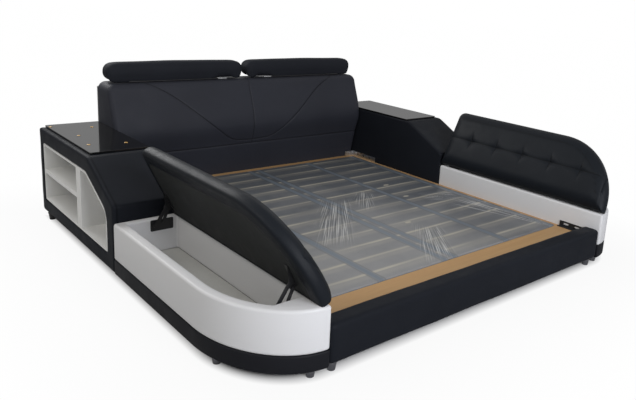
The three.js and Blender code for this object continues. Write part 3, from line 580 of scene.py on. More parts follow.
dark_lining = lining("dark_lining", (0.016, 0.017, 0.018), (0.028, 0.029, 0.030))
grey_felt = lining("grey_felt", (0.40, 0.40, 0.38), (0.50, 0.50, 0.48))
white_board = board("white_board", (0.78, 0.78, 0.77))
pine_across = timber("pine_across", "X", (0.40, 0.23, 0.095), (0.60, 0.38, 0.18))
pine_along = timber("pine_along", "Y", (0.38, 0.21, 0.085), (0.56, 0.35, 0.16))
slat_wood = timber("slat_wood", "X", (0.50, 0.43, 0.31), (0.64, 0.57, 0.44))
print("lining, board and three timbers")

# %% Metals, glass and plastics


def metal(name, colour, roughness, shine, flake=70.0):
    material, tree, shader, place = material_with(name, Metallic=shine)
    dust = speckle(tree, place, flake, 4.0)
    worn = tuple(0.82 * c for c in colour)
    dulled = spread(tree, dust, roughness, roughness + 0.14)
    surface(tree, shader, colour_mix(tree, dust, worn, colour), dulled, (dust, 0.15, 0.0003))
    return material


def glass_black():
    material, tree, shader, place = material_with("black_glass", IOR=1.5)
    smear = speckle(tree, place, 3.5, 5.0, Roughness=0.65)
    black = colour_mix(tree, smear, (0.003,) * 3, (0.007, 0.007, 0.008))
    surface(tree, shader, black, spread(tree, smear, 0.03, 0.11))
    return material


black_glass = glass_black()
black_steel = metal("black_steel", (0.016, 0.016, 0.018), 0.36, 0.2)
bright_steel = metal("bright_steel", (0.62, 0.63, 0.65), 0.22, 1.0)
grey_steel = metal("grey_steel", (0.13, 0.17, 0.22), 0.36, 0.1)
chrome = metal("foot_chrome", (0.26, 0.26, 0.28), 0.18, 1.0)
amber = metal("amber_pad", (0.58, 0.34, 0.09), 0.3, 0.0)
black_plastic_and_shade = metal("black_plastic_and_shade", (0.02, 0.02, 0.022), 0.42, 0.0)
print("metals, glass and plastics")

# %% [markdown]
# ## Floor
#
# The bed stands on a plain pale floor that runs out to white. A single plane is enough. For the camera
# it turns white just outside the bed's outline, as in the photograph, so its shadow is whole under the
# bed and only faint beside it.

# %% Floor


def beside_bed(tree, place):
    """Distance outside the bed's outline with its two elliptic front corners, negative under it."""
    link = tree.links.new
    parts = wired(tree, "ShaderNodeSeparateXYZ", {0: place}).outputs
    across, along = calc(tree, "ABSOLUTE", parts["X"]), calc(tree, "ABSOLUTE", parts["Y"])
    reach = tree.nodes.new("ShaderNodeCombineXYZ")
    for axis, source, start, end in (("X", across, 0.915, 1.24), ("Y", parts["Y"], -0.72, -1.14)):
        past = remap(tree, source, start, end, clamp=False)
        link(calc(tree, "MAXIMUM", past, 0.0), reach.inputs[axis])
    ring = wired(tree, "ShaderNodeVectorMath", {0: reach.outputs[0]}, operation="LENGTH")
    corner = calc(tree, "MULTIPLY_ADD", ring.outputs["Value"], 0.36, -0.36)
    return calc(tree, "MAXIMUM", corner, calc(tree, "SUBTRACT", along, 1.14))


def make_floor():
    deselect()
    bpy.ops.mesh.primitive_plane_add(size=60, location=(0, 0, -0.0005))
    floor = new_piece("studio_floor")
    material, tree, shader, place = material_with("studio_floor", Roughness=0.9, Specular_IOR_Level=0.1)
    cloud = wired(tree, "ShaderNodeTexNoise", {"Vector": place}, {"Scale": 0.8})
    grey = colour_mix(tree, cloud.outputs["Fac"], (0.54,) * 3, (0.58,) * 3)
    tree.links.new(grey, shader.inputs["Base Color"])
    white = node(tree, "ShaderNodeEmission", {"Color": (1, 1, 1, 1), "Strength": 1.0})
    distance = beside_bed(tree, place)
    shares = [
        remap(tree, distance, low, high, 0.0, most)
        for low, high, most in ((-0.06, 0.0, 0.93), (0.0, 0.7, 0.068))
    ]
    seen = tree.nodes.new("ShaderNodeLightPath").outputs["Is Camera Ray"]
    share = calc(tree, "MULTIPLY", seen, calc(tree, "ADD", *shares))
    links = {0: share, 1: shader.outputs[0], 2: white.outputs[0]}
    mixed = wired(tree, "ShaderNodeMixShader", links)
    tree.links.new(mixed.outputs[0], tree.nodes["Material Output"].inputs["Surface"])
    floor.data.materials.append(material)


make_floor()
print("floor laid")

# %% [markdown]
# ## Rigid pieces that keep their construction shape
#
# Boards, brackets, hinge parts and timber already have their true shape, so they only take a finish.

# %% Finish the rigid nodes
node_finish = {
    "unit_back_panel": dark_lining,
    "bookcase": white_board,
    "box_floor": grey_felt,
    "lid_board": lid_lining,
    "glass_top": black_glass,
    "timber_rail": pine_along,
    "head_bracket": bright_steel,
    "foot_bracket": black_steel,
    "headrest_bar": black_steel,
    "headrest_bracket_inner": bright_steel,
    "headrest_bracket_outer": black_steel,
}
hinge_parts = ("plate", "arm", "link", "lid_bracket")
node_finish.update({f"{end}_{part}": black_steel for end in ("front", "rear") for part in hinge_parts})


def dress_node(name, material):
    piece = nodes[name]
    piece.data.materials.clear()
    piece.data.materials.append(material)


for side in sides:
    for part, material in node_finish.items():
        dress_node(f"{side}_{part}", material)
dress_node("headboard_back_panel", dark_lining)
dress_node("foot_timber_rail", pine_across)
dress_node("head_timber_rail", pine_across)
print(2 * len(node_finish) + 3, "nodes finished")

# %% [markdown]
# ## The D-shaped storage boxes
#
# From above a storage box is a long strip with one big quarter-ellipse corner. It could be drawn as an
# outline, but the quickest true ellipse is a stretched cylinder: two cuts leave a quarter of it, and
# the flat rear face is pulled back to make the straight part. The room inside is the same form, a
# little smaller, taken away with a boolean. The rim is then rounded, as leather over foam is.

# %% D-shaped blocks
bay_half = 0.915
side_width = 0.325
front_edge = -1.140
box_rear = front_edge + 1.190
corner_depth = 0.420


def d_block(name, inner, outer, front, depth, rear, low, high, facets=160):
    """The right-hand D form between two heights, straight behind and elliptic at its outer front."""
    centre = front + depth
    deselect()
    bpy.ops.mesh.primitive_cylinder_add(
        vertices=facets, radius=1, depth=high - low, location=(inner, centre, (low + high) / 2)
    )
    bpy.context.active_object.scale = (outer - inner, depth, 1)
    piece = new_piece(name)
    edit(piece)
    bpy.ops.mesh.select_all(action="SELECT")
    bpy.ops.mesh.bisect(plane_co=(inner, 0, 0), plane_no=(1, 0, 0), clear_inner=True, use_fill=True)
    bpy.ops.mesh.select_all(action="SELECT")
    bpy.ops.mesh.bisect(plane_co=(0, centre, 0), plane_no=(0, -1, 0), clear_inner=True, use_fill=True)
    bpy.ops.mesh.select_all(action="DESELECT")
    choose(piece, "faces", lambda f: f.normal.y > 0.99)
    bpy.ops.mesh.extrude_region_move(TRANSFORM_OT_translate={"value": (0, rear - centre, 0)})
    bpy.ops.mesh.select_all(action="SELECT")
    bpy.ops.mesh.remove_doubles(threshold=0.0001)
    bpy.ops.mesh.normals_make_consistent(inside=False)
    leave()
    return piece


def carve(piece, cutter):
    """Takes the cutter's form out of a piece."""
    modify(piece, "BOOLEAN", object=cutter, operation="DIFFERENCE", solver="EXACT")
    bpy.data.objects.remove(cutter, do_unlink=True)
    return piece


# %% White box walls
wall_low, wall_high = 0.1113, 0.285
outer_wall, inner_wall, rear_wall, front_block = 0.050, 0.030, 0.028, 0.125
overrun = 0.02


def box_form(name, low, high, outer=0, inner=0, rear=0):
    """The D form of the storage box between two heights, inset by its outer, inner and rear walls."""
    return d_block(
        name,
        bay_half + inner,
        bay_half + side_width - outer,
        front_edge + outer,
        corner_depth - outer,
        box_rear - rear,
        low,
        high,
    )


def box_wall():
    wall = box_form("right_box_leather", wall_low, wall_high)
    room = box_form("room", wall_low - overrun, wall_high + overrun, outer_wall, 0, rear_wall)
    edit(room)
    for plane_co, plane_no in (
        ((bay_half + inner_wall, 0, 0), (1, 0, 0)),
        ((0, front_edge + front_block, 0), (0, 1, 0)),
    ):
        bpy.ops.mesh.select_all(action="SELECT")
        bpy.ops.mesh.bisect(plane_co=plane_co, plane_no=plane_no, clear_inner=True, use_fill=True)
    leave()
    carve(wall, room)
    soften(wall, 0.013, 5, 50)
    return smooth(wall, 50)


right_box = box_wall()
left_box = flipped(right_box, "left_box_leather")
for side, piece in (("right", right_box), ("left", left_box)):
    finish_piece(piece, "root", white_leather, "white_leather", [f"{side}_box_wall"])
print("box walls", len(right_box.data.polygons), "faces each")

# %% [markdown]
# ## Plinths and feet
#
# Under each white wall runs a black padded plinth with the same outline, in a darker copy of the black
# leather that carries painted shade. Its face swells a little between the seam above and the staples
# below. The feet are short cones with a flange, all alike in form, so one function makes them: dark
# chrome where they are seen, and black under the units, where the black is painted shade.

# %% Plinths
plinth_low, plinth_high = 0.040, 0.111
plinth_wall = 0.070


def plinth():
    ring = box_form("right_plinth_pad", plinth_low, plinth_high)
    hollow = box_form("hollow", plinth_low - overrun, plinth_high + overrun, *(plinth_wall,) * 3)
    carve(ring, hollow)
    soften(ring, 0.016, 5, 50)
    return smooth(ring, 50)


right_plinth = plinth()
left_plinth = flipped(right_plinth, "left_plinth_pad")
for side, piece in (("right", right_plinth), ("left", left_plinth)):
    finish_piece(piece, "root", plinth_black_shaded, "black_leather", [f"{side}_plinth"])
print("plinths", len(right_plinth.data.polygons), "faces each")

# %% Feet
foot_radius, foot_height = 0.019, 0.040


def foot(name, x, y):
    """A bright cone foot that widens upwards, with a rounded ground edge and a thin flange on top."""
    deselect()
    bpy.ops.mesh.primitive_cone_add(
        vertices=40,
        radius1=0.8 * foot_radius,
        radius2=1.1 * foot_radius,
        depth=foot_height,
        location=(x, y, foot_height / 2),
    )
    piece = new_piece(name)
    deselect()
    bpy.ops.mesh.primitive_cylinder_add(
        vertices=40, radius=1.22 * foot_radius, depth=0.003, location=(x, y, foot_height - 0.0015)
    )
    piece = join_pieces([piece, new_piece("flange")], name)
    soften(piece, 0.0010, 2, 50)
    return smooth(piece, 40)


corner_turn = -math.pi / 12
foot_inset = 0.040
foot_places = {
    "box_inner": (bay_half + foot_inset + foot_radius / 2, front_edge + foot_inset + foot_radius / 2),
    "box_corner": (
        bay_half + (side_width - foot_inset) * math.cos(corner_turn),
        front_edge + corner_depth + (corner_depth - foot_inset) * math.sin(corner_turn),
    ),
    "box_rear": (bay_half + 0.160, box_rear - foot_inset),
    "unit_outer": (bay_half + side_width - foot_radius - 0.0035, -front_edge - 0.090),
    "unit_inner": (bay_half + foot_radius + 0.0035, -front_edge - 0.090),
    "rail": (0.875, front_edge + foot_inset),
    "headboard": (0.640, -front_edge - 0.0123 - 0.090),
}
for side, turn in sides.items():
    for place, (x, y) in foot_places.items():
        shaded = place.startswith("unit")
        piece = foot(f"{side}_foot_{place}", turn * x, y)
        # Under the units the feet take black in place of chrome, as painted shade.
        look = (black_plastic_and_shade, "black_steel") if shaded else (chrome, "bright_steel")
        finish_piece(piece, "root", *look)
print(2 * len(foot_places), "feet")

# %% [markdown]
# ## Foot rail
#
# The rail across the foot is a board with thin foam under leather: straight, with softly rounded long
# edges and slightly swollen faces. A box has its edges rounded, is remeshed into an even skin and
# smoothed, and its faces are pushed in and out by a millimetre or two.

# %% Foot rail
rail_low, rail_high = 0.040, 0.204
rail_half, rail_depth = 0.9147, 0.095


def foot_rail():
    low, high = (-rail_half, front_edge, rail_low), (rail_half, front_edge + rail_depth, rail_high)
    rail = box_piece("foot_rail_pad", low, high)
    soften(rail, 0.022, 6, 40)
    modify(rail, "REMESH", mode="VOXEL", voxel_size=0.007)
    modify(rail, "SMOOTH", factor=0.5, iterations=4)
    ripple(rail, 0.0016, (7, 9, 16))
    return smooth(rail, 80)


rail = finish_piece(foot_rail(), "root", black_leather, "black_leather", ["foot_rail"])
print("foot rail", [round(v, 3) for v in rail.dimensions])

# %% [markdown]
# ## Padded surfaces over a grid
#
# The lids and the headboard are foam pads with sewn valleys. Their faces are laid as a fine grid whose
# lines follow the seams, so each seam is a true crease and the leather swells between seams. The grid
# starts as a plain primitive, its points are moved to the pad's face, and its border is then extruded
# back to close the body.

# %% Grid pads


def grid_surface(name, columns, rows, place):
    """A grid primitive whose points are moved to place(i, j) for column i and row j."""
    deselect()
    bpy.ops.mesh.primitive_grid_add(x_subdivisions=columns, y_subdivisions=rows, size=2)
    piece = new_piece(name)
    for vertex in piece.data.vertices:
        i = round((vertex.co.x + 1) / 2 * columns)
        j = round((vertex.co.y + 1) / 2 * rows)
        vertex.co = place(i, j)
    return piece


def close_body(piece, steps):
    """Extrudes the open border by steps; each is a function of a point and of its border point."""

    def key(point):
        return tuple(round(v, 6) for v in point)

    edit(piece, "EDGE")
    choose(piece, "edges", lambda e: e.is_boundary)
    mesh = bmesh.from_edit_mesh(piece.data)
    starts = {key(v.co): v.co.copy() for v in mesh.verts if v.select}
    for move in steps:
        bpy.ops.mesh.extrude_edges_move(TRANSFORM_OT_translate={"value": (0, 0, 0)})
        mesh = bmesh.from_edit_mesh(piece.data)
        moved = {}
        for vertex in mesh.verts:
            if vertex.select:
                start = starts[key(vertex.co)]
                vertex.co = move(vertex.co.copy(), start)
                moved[key(vertex.co)] = start
        starts = moved
        bmesh.update_edit_mesh(piece.data)
    bpy.ops.mesh.edge_face_add()
    bpy.ops.mesh.select_all(action="SELECT")
    bpy.ops.mesh.remove_doubles(threshold=0.00005)
    bpy.ops.mesh.normals_make_consistent(inside=False)
    leave()
    return piece


def rounded(distance, width, rise):
    t = min(max(distance / width, 0), 1)
    return rise * math.sqrt(1 - (1 - t) ** 2)


def valley(distance, width):
    t = min(abs(distance) / width, 1)
    return (1 - t) ** 2


def ease(value):
    t = min(max(value, 0), 1)
    return t * t * (3 - 2 * t)


# %% [markdown]
# ## Side unit leather
#
# The outer frame, the cover over the slope and the inner side panel are boards under one leather
# skin. Copies of the three are joined and remeshed with cells wider than the gaps between them, which
# makes one closed skin whose edges are then rounded by smoothing. Thin sewn lines along both edges of
# the slope and across its two folds are drawn as painted shade.

# %% Unit skins
unit_parts = ("unit_frame", "unit_cover", "unit_inner_panel")
unit_low, unit_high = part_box("right_unit_frame")
slope_foot = Vector((0, unit_low.y, 0.362))
slope_head = Vector((0, box_rear + 0.324, unit_high.z))


def unit_skin():
    copies = []
    for part in unit_parts:
        copy = bpy.data.objects.new(part, nodes[f"right_{part}"].data.copy())
        bpy.context.scene.collection.objects.link(copy)
        copies.append(copy)
    skin = join_pieces(copies, "right_unit_leather")
    edit(skin)
    bpy.ops.mesh.select_all(action="SELECT")
    bpy.ops.mesh.remove_doubles(threshold=0.00005)
    bpy.ops.mesh.bisect(plane_co=(0, 0, 0.0402), plane_no=(0, 0, 1), clear_inner=True, use_fill=True)
    leave()
    modify(skin, "REMESH", mode="VOXEL", voxel_size=0.006)
    modify(skin, "SMOOTH", factor=0.5, iterations=7)
    ripple(skin, 0.0013, (8, 7, 8))
    return smooth(skin, 80)


def unit_seams(place, normal):
    x, y, z = place
    if abs(normal.x) > 0.75:
        return 0
    outer_line, inner_line = bay_half + side_width - 0.020, bay_half + 0.021
    edges = max(valley(x - outer_line, 0.006), 0.6 * valley(x - inner_line, 0.006))
    folds = max(valley(math.hypot(y - fold.y, z - fold.z), 0.009) for fold in (slope_foot, slope_head))
    return max(edges, 0.7 * folds)


right_skin = mark_seams(unit_skin(), unit_seams)
left_skin = flipped(right_skin, "left_unit_leather")
for side, piece in (("right", right_skin), ("left", left_skin)):
    finish_piece(piece, "root", black_leather, "black_leather", [f"{side}_{part}" for part in unit_parts])
print("unit skins", len(right_skin.data.polygons), "faces each")

# %% [markdown]
# ## Tufted lids
#
# Each lid is a crowned pad with one long seam down its middle and five tufts, where short creases
# cross. The rows of the grid crowd together at every tuft. The pad's rim is one broad roll, which
# turns in under the lid and folds back against the lining board's edge. The pad is laid out closed
# over the right box, then swung open by the same turn that the lift hinges give it.

# %% Lid sizes
lid_inner, lid_outer = bay_half - 0.012, bay_half + side_width + 0.034
lid_front, lid_rear = front_edge + 0.003, box_rear - 0.006
lid_corner, lid_rear_round = corner_depth - 0.050, 0.045
lid_base = wall_high + 0.005
lid_belt, lid_shoulder, lid_shoulder_width, lid_crown = 0.030, 0.036, 0.048, 0.016
lid_width = lid_outer - lid_inner
lid_middle = lid_inner + lid_width / 2
board_edge, board_rim, board_rear = 0.008, 0.038, 0.015
tuft_count, dimple_depth, dimple_width, crease_depth = 5, 0.008, 0.055, 0.006
belt_seam_height, rim_seam_inset = 0.050, 0.052
tuft_pitch = (lid_rear - lid_front) / (tuft_count + 1)
swing_x, swing_z = lid_inner + 0.032, lid_base + 0.038
open_angle = math.radians(64)


def swing_open(point_or_mesh):
    """The turn that takes a closed right lid to its open rest."""
    centre = Vector((swing_x, 0, swing_z))
    turn = Matrix.Translation(centre) @ Matrix.Rotation(-open_angle, 4, "Y") @ Matrix.Translation(-centre)
    if isinstance(point_or_mesh, Vector):
        return turn @ point_or_mesh
    point_or_mesh.transform(turn)
    return point_or_mesh


def crowded(low, high, seams, per_span, pinch):
    """Positions from low to high that crowd towards the ends and each seam."""
    stops = [low, *seams, high]
    places = []
    for a, b in zip(stops, stops[1:]):
        for k in range(per_span):
            t = k / per_span
            places.append(a + (b - a) * (t - pinch * math.sin(2 * math.pi * t) / (2 * math.pi)))
    return places + [high]


# %% Lid pads


def lid_reach(y):
    t = min(max((lid_front + lid_corner - y) / lid_corner, 0), 1)
    s = min(max((y - lid_rear) / lid_rear_round + 1, 0), 1)
    return lid_inner + lid_width * math.sqrt(1 - t * t) - lid_rear_round * (1 - math.sqrt(1 - s * s))


def lid_edge(x, y):
    """Distance to the nearest edge of the lid's outline."""
    straight = min(x - lid_inner, lid_outer - x, lid_rear - y)
    past_x, past_y = x - lid_outer + lid_rear_round, y - lid_rear + lid_rear_round
    if past_x > 0 and past_y > 0:
        return lid_rear_round - math.hypot(past_x, past_y)
    if y >= lid_front + lid_corner:
        return straight
    a, b = (x - lid_inner) / lid_width, (y - lid_front - lid_corner) / lid_corner
    f = max(math.hypot(a, b), 1e-6)
    return min(straight, (1 - f) / (math.hypot(a / lid_width, b / lid_corner) / f))


def from_tuft(x, y):
    """Distances from the long seam and from the nearest cross seam."""
    nearest = min(max(round((y - lid_front) / tuft_pitch), 1), tuft_count)
    return abs(x - lid_middle), abs(y - lid_front - nearest * tuft_pitch)


def lid_height(x, y):
    edge = max(lid_edge(x, y), 0)
    fade = ease(edge / (1.4 * lid_shoulder_width))
    rise = rounded(edge, lid_shoulder_width, lid_shoulder)
    crown = lid_crown * rounded(edge, lid_width / 2, 1) * fade
    along, across = from_tuft(x, y)
    short = ease(1 - across / 0.09) if across > 0 else 1
    long_crease = valley(along, 0.026) * (0.5 + 0.5 * short)
    cross_crease = valley(across, 0.020) * ease(1 - along / 0.075)
    crease = max(long_crease, cross_crease) * crease_depth
    dimple = valley(math.hypot(along, across), dimple_width) * dimple_depth
    drift = 0.0016 * noise.noise(Vector((x * 9, y * 9, 0.3)))
    return lid_belt + rise + crown + (drift - crease - dimple) * fade


def lid_seams(place, normal):
    x, y, z = place
    if z < lid_base + lid_belt:
        return 0
    if lid_edge(x, y) < 0.024:
        return 0.8 * valley(z - lid_base - belt_seam_height, 0.004) if x > lid_inner + 0.05 else 0
    along, across = from_tuft(x, y)
    row = valley(along, 0.006) * 0.9
    cross = valley(across, 0.006) * (0.18 + 0.7 * ease(1 - along / 0.06))
    outer = min(x - lid_inner, lid_rear - y) > 0.06
    rim = valley(lid_edge(x, y) - rim_seam_inset, 0.005) * 0.6 if outer else 0
    return max(row, cross, rim)


def board_point(point):
    """Where the lining board's edge lies inside a point of the pad's outline."""
    bend = lid_front + lid_corner
    x = lid_inner + board_edge + (point.x - lid_inner) * (1 - (board_rim + board_edge) / lid_width)
    if point.y < bend:
        y = bend - (bend - point.y) * (1 - board_rim / lid_corner)
    else:
        y = bend + (point.y - bend) * (1 - board_rear / (lid_rear - bend))
    return Vector((x, y, 0))


def lid_pad(name):
    half = lid_width / 2
    seams = [lid_front + k * tuft_pitch for k in range(1, tuft_count + 1)]
    rows = crowded(lid_front, lid_rear, seams, 20, 0.72)
    rows[1:1] = [lid_front + share * (rows[1] - lid_front) for share in (0.02, 0.08, 0.2, 0.45)]
    rows[-1:-1] = [lid_rear - share * (lid_rear - rows[-2]) for share in (0.4, 0.12)]
    columns = crowded(lid_inner, lid_outer, [lid_middle], 30, 0.70)

    def place(i, j):
        y = rows[j]
        share = (columns[i] - lid_inner) / lid_width
        reach = lid_reach(y) - lid_inner
        x = lid_inner + share * reach
        if reach > half:
            past = columns[i] - lid_middle
            x = columns[i] if past <= 0 else lid_middle + past / half * (reach - half)
        return Vector((x, y, lid_base + lid_height(x, y)))

    pad = grid_surface(name, len(columns) - 1, len(rows) - 1, place)

    def step(share, height):
        def move(point, start):
            flat = Vector((start.x, start.y, 0)).lerp(board_point(start), share)
            return Vector((flat.x, flat.y, lid_base + height))

        return move

    turned_in = (
        *((0, 0.020), (0.03, 0.011), (0.11, 0.004), (0.25, 0.0), (0.55, -0.0018), (1.0, -0.0024)),
        *((1.5, -0.0024), (1.62, -0.0020), (1.66, -0.0010), (1.62, -0.0003), (1.0, -0.0003), (1.0, 0.010)),
    )
    close_body(pad, [step(share, height) for share, height in turned_in])
    return mark_seams(pad, lid_seams)


right_lid = lid_pad("right_lid_pad")
swing_open(right_lid.data)
smooth(right_lid, 60)
left_lid = flipped(right_lid, "left_lid_pad")
for side, piece in (("right", right_lid), ("left", left_lid)):
    finish_piece(piece, f"{side}_lid", soft_black_shaded, "black_leather", [f"{side}_lid_cushion"])
print("lid pads", len(right_lid.data.polygons), "faces each")

# %% [markdown]
# ## Headboard
#
# The headboard is one broad pad: upright below the mattress line, swelling forward to a belly and
# leaning back to its top. Three seams cross it: a low one from side to side, an upright one in the
# middle and a wide rounded V. The V isn't straight, so the grid above the low seam is split at the V:
# one band of rows runs below it and one above, and the crease lies exactly between them.

# %% Headboard form
head_back = -front_edge - 0.0123
head_top, head_low = 0.768, 0.040
head_half = bay_half - 0.0003
head_round, head_corner = 0.030, 0.045
seam_low = 0.350
profile_heights = (0.040, 0.155, 0.350, 0.500, 0.768)
profile_depths = (0.168, 0.168, 0.206, 0.242, 0.160)


def head_depth(z):
    """Depth of the padded face in front of the back board, by height, as a smooth curve."""
    hs, ds = profile_heights, profile_depths
    k = max(i for i in range(len(hs) - 1) if z >= hs[i] or i == 0)
    t = (z - hs[k]) / (hs[k + 1] - hs[k])
    before, after = ds[max(k - 1, 0)], ds[min(k + 2, len(ds) - 1)]
    a, b = ds[k], ds[k + 1]
    square, cube = 2 * before - 5 * a + 4 * b - after, 3 * a - before - 3 * b + after
    return 0.5 * (2 * a + (b - before) * t + square * t**2 + cube * t**3)


def v_seam(x):
    """Height of the rounded V seam over x: flat in the middle, then rising to the top edge."""
    past = abs(x) - 0.150
    rise = 0.83 * (past + math.hypot(past, 0.050)) / 2
    return 0.3716 + rise - 0.9 * max(abs(x) - 0.450, 0) ** 2


def head_width(z):
    above = max(z - (head_top - head_corner), 0)
    return head_half - head_corner + math.sqrt(max(head_corner**2 - above**2, 0))


def from_v(x, z):
    """Distance from the V seam."""
    slope = (v_seam(x + 0.002) - v_seam(x - 0.002)) / 0.004
    return abs(z - v_seam(x)) / math.hypot(1, slope)


def head_seams(place, normal):
    x, y, z = place
    if normal.y > -0.2 or z < seam_low - 0.02:
        return 0
    marks = [0.75 * valley(z - seam_low, 0.006)]
    if z > seam_low:
        marks += [0.8 * valley(x, 0.005), 0.95 * valley(from_v(x, z), 0.006)]
    return max(marks)


def head_face(x, z):
    """The face's distance in front of the back board."""
    to_top, to_side = head_top - z, head_half - abs(x)
    edge = min(to_top, to_side)
    if to_top < head_corner and to_side < head_corner:
        edge = head_corner - math.hypot(head_corner - to_top, head_corner - to_side)
    edge = max(edge, 0)
    depth = head_depth(z) - head_round + rounded(edge, head_round, head_round)
    fade = ease(edge / 0.05)
    crease = valley(z - seam_low, 0.012) * 0.004
    if z > seam_low:
        crease = max(crease, valley(x, 0.010) * 0.003, valley(from_v(x, z), 0.011) * 0.0035)
    swell = 0.004 * math.sin(math.pi * abs(x) / head_half) if z > seam_low else 0
    drift = 0.0022 * noise.noise(Vector((x * 4, z * 6, 1.7)))
    return depth + (swell + drift - crease) * fade


# %% Headboard pad


def headboard():
    columns = crowded(-1, 1, [0], 110, 0.6)
    lower, band, upper = 26, 30, 52

    def row_height(x, j):
        if j <= lower:
            return head_low + (seam_low - head_low) * (1 - (1 - j / lower) ** 1.6)
        seam = min(v_seam(x), head_top - 0.006)
        if j <= lower + band:
            t = (j - lower) / band
            t -= 0.6 * math.sin(2 * math.pi * t) / (2 * math.pi)
            return seam_low + (seam - seam_low) * t
        t = (j - lower - band) / upper
        t -= 0.6 * math.sin(2 * math.pi * t) / (2 * math.pi)
        return seam + (head_top - seam) * t

    def place(i, j):
        x = columns[i] * head_half
        for _ in range(3):
            z = row_height(x, j)
            x = columns[i] * head_width(z)
        return Vector((x, head_back - head_face(x, z), z))

    pad = grid_surface("headboard_leather", len(columns) - 1, lower + band + upper, place)
    return close_body(pad, [lambda point, start: Vector((point.x, head_back, point.z))])


head_pad = mark_seams(smooth(headboard(), 60), head_seams)
finish_piece(head_pad, "root", head_black_lit, "black_leather", ["headboard_pad"])
print("headboard", len(head_pad.data.polygons), "faces", [round(v, 3) for v in head_pad.dimensions])

# %% [markdown]
# ## Headrest bolsters
#
# Each headrest is a long slack cushion on a hinged bar. Foam under a sewn cover takes its form from
# its own pressure, so it is worth a short cloth simulation: a rounded block is remeshed into an even
# skin, blown up gently with no gravity, and then kept as it is.

# %% Bolsters
rest_low, rest_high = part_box("right_headrest_cushion")


def inflate(piece, voxel, pressure, frames, cap):
    """Even skin, then a short inflation whose movement is capped."""
    modify(piece, "REMESH", mode="VOXEL", voxel_size=voxel)
    before = [v.co.copy() for v in piece.data.vertices]
    take(piece)
    cloth = piece.modifiers.new("cloth", "CLOTH")
    cloth.settings.use_pressure = True
    cloth.settings.uniform_pressure_force = pressure
    cloth.settings.effector_weights.gravity = 0
    cloth.settings.tension_stiffness = 12
    cloth.settings.bending_stiffness = 4
    cloth.point_cache.frame_start = 1
    cloth.point_cache.frame_end = frames
    for step in range(1, frames + 1):
        bpy.context.scene.frame_set(step)
    bpy.ops.object.modifier_apply(modifier="cloth")
    bpy.context.scene.frame_set(1)
    for vertex, old in zip(piece.data.vertices, before):
        shift = vertex.co - old
        if shift.length > cap:
            vertex.co = old + shift.normalized() * cap
    return piece


def pillow(point):
    """Draws the ends of the rounded block in like a pillow's and lets its front lip hang."""
    middle = (rest_low + rest_high) / 2
    half = (rest_high - rest_low) / 2
    from_end = min(point.x - rest_low.x, rest_high.x - point.x)
    end = 1 - rounded(from_end, 0.085, 1)
    y, z = point.y - middle.y, point.z - middle.z
    around = math.atan2(z / half.z, y / half.y)
    puckers = 0.012 * end * math.cos(9 * around) * ease(from_end / 0.03)
    y *= 1 - 0.14 * end + puckers
    z *= 1 - 0.16 * end + 2 * puckers
    y += 0.012 * ease(0.5 + y / half.y)
    z += 0.006 * ease(0.5 + z / half.z) * (1 - 3.0 * end)
    drift = 0.0018 * noise.noise(Vector((point.x * 5, point.y * 16, point.z * 16)))
    x = point.x + 0.012 * (point.x - middle.x) / half.x - 0.003
    return Vector((x, middle.y + y, middle.z + z + drift))


def hang(point):
    """Lets the lower front edge hang until it nearly lies on the headboard, but not at the inner bracket."""
    above = point.z - head_top - 0.0013
    lip = ease((1.050 - point.y) / 0.03) * ease((0.045 - above) / 0.03)
    lip *= 1 - ease(1.6 - 1.6 * abs(point.x - 0.150) / 0.09)
    return Vector((point.x, point.y, point.z - lip * min(0.026, max(above, 0))))


def bolster():
    shrink = 0.006
    low = rest_low + Vector((shrink, shrink, 0.001))
    high = rest_high - Vector((shrink, shrink, shrink))
    pad = box_piece("right_headrest_pad", low, high)
    soften(pad, 0.038, 8, 40)
    inflate(pad, 0.006, 4, 18, shrink)
    for vertex in pad.data.vertices:
        vertex.co = pillow(vertex.co)
    modify(pad, "SMOOTH", factor=0.5, iterations=6)
    for vertex in pad.data.vertices:
        vertex.co = hang(vertex.co)
    return smooth(pad, 80)


right_rest = bolster()
left_rest = flipped(right_rest, "left_headrest_pad")
for side, piece in (("right", right_rest), ("left", left_rest)):
    finish_piece(piece, f"{side}_headrest", rest_black_lit, "black_leather", [f"{side}_headrest_cushion"])
print("bolsters", len(right_rest.data.polygons), "faces each")

# %% [markdown]
# ## Slat frames
#
# Two steel frames carry bowed timber slats in black plastic sockets. Each frame is a ring of square
# tube with one more tube down its middle. The tubes are boxes with rounded edges, and a slat is a thin
# strip that is bowed upwards by lifting its middle.

# %% Slat frames
frame_low, frame_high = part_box("right_slat_frame")
frame_front, frame_rear, frame_inner, frame_outer = frame_low.y, frame_high.y, frame_low.x, frame_high.x
tube_width, tube_high, tube_low = 0.040, 0.155, 0.125
slat_count, slat_width, slat_thick, slat_bow = 13, 0.053, 0.009, 0.006
frame_middle = (frame_inner + frame_outer) / 2
first_slat = frame_front + tube_width + 0.005
slat_pitch = (frame_rear - tube_width - 0.005 - slat_width - first_slat) / (slat_count - 1)


def tube(name, low, high):
    piece = box_piece(name, low, high)
    return soften(piece, 0.004, 3, 40)


def slat(name, x0, x1, y):
    """A thin strip, cut across in ten and bowed up in the middle."""
    top = tube_high - 0.005 - slat_bow
    piece = box_piece(name, (x0, y, top - slat_thick), (x1, y + slat_width, top))
    edit(piece, "EDGE")
    choose(piece, "edges", lambda e: abs((e.verts[0].co - e.verts[1].co).x) > 0.1)
    bpy.ops.mesh.subdivide(number_cuts=9)
    leave()
    middle, half = (x0 + x1) / 2, (x1 - x0) / 2
    for vertex in piece.data.vertices:
        vertex.co.z += slat_bow * (1 - ((vertex.co.x - middle) / half) ** 2)
    soften(piece, 0.0025, 2, 40)
    return piece


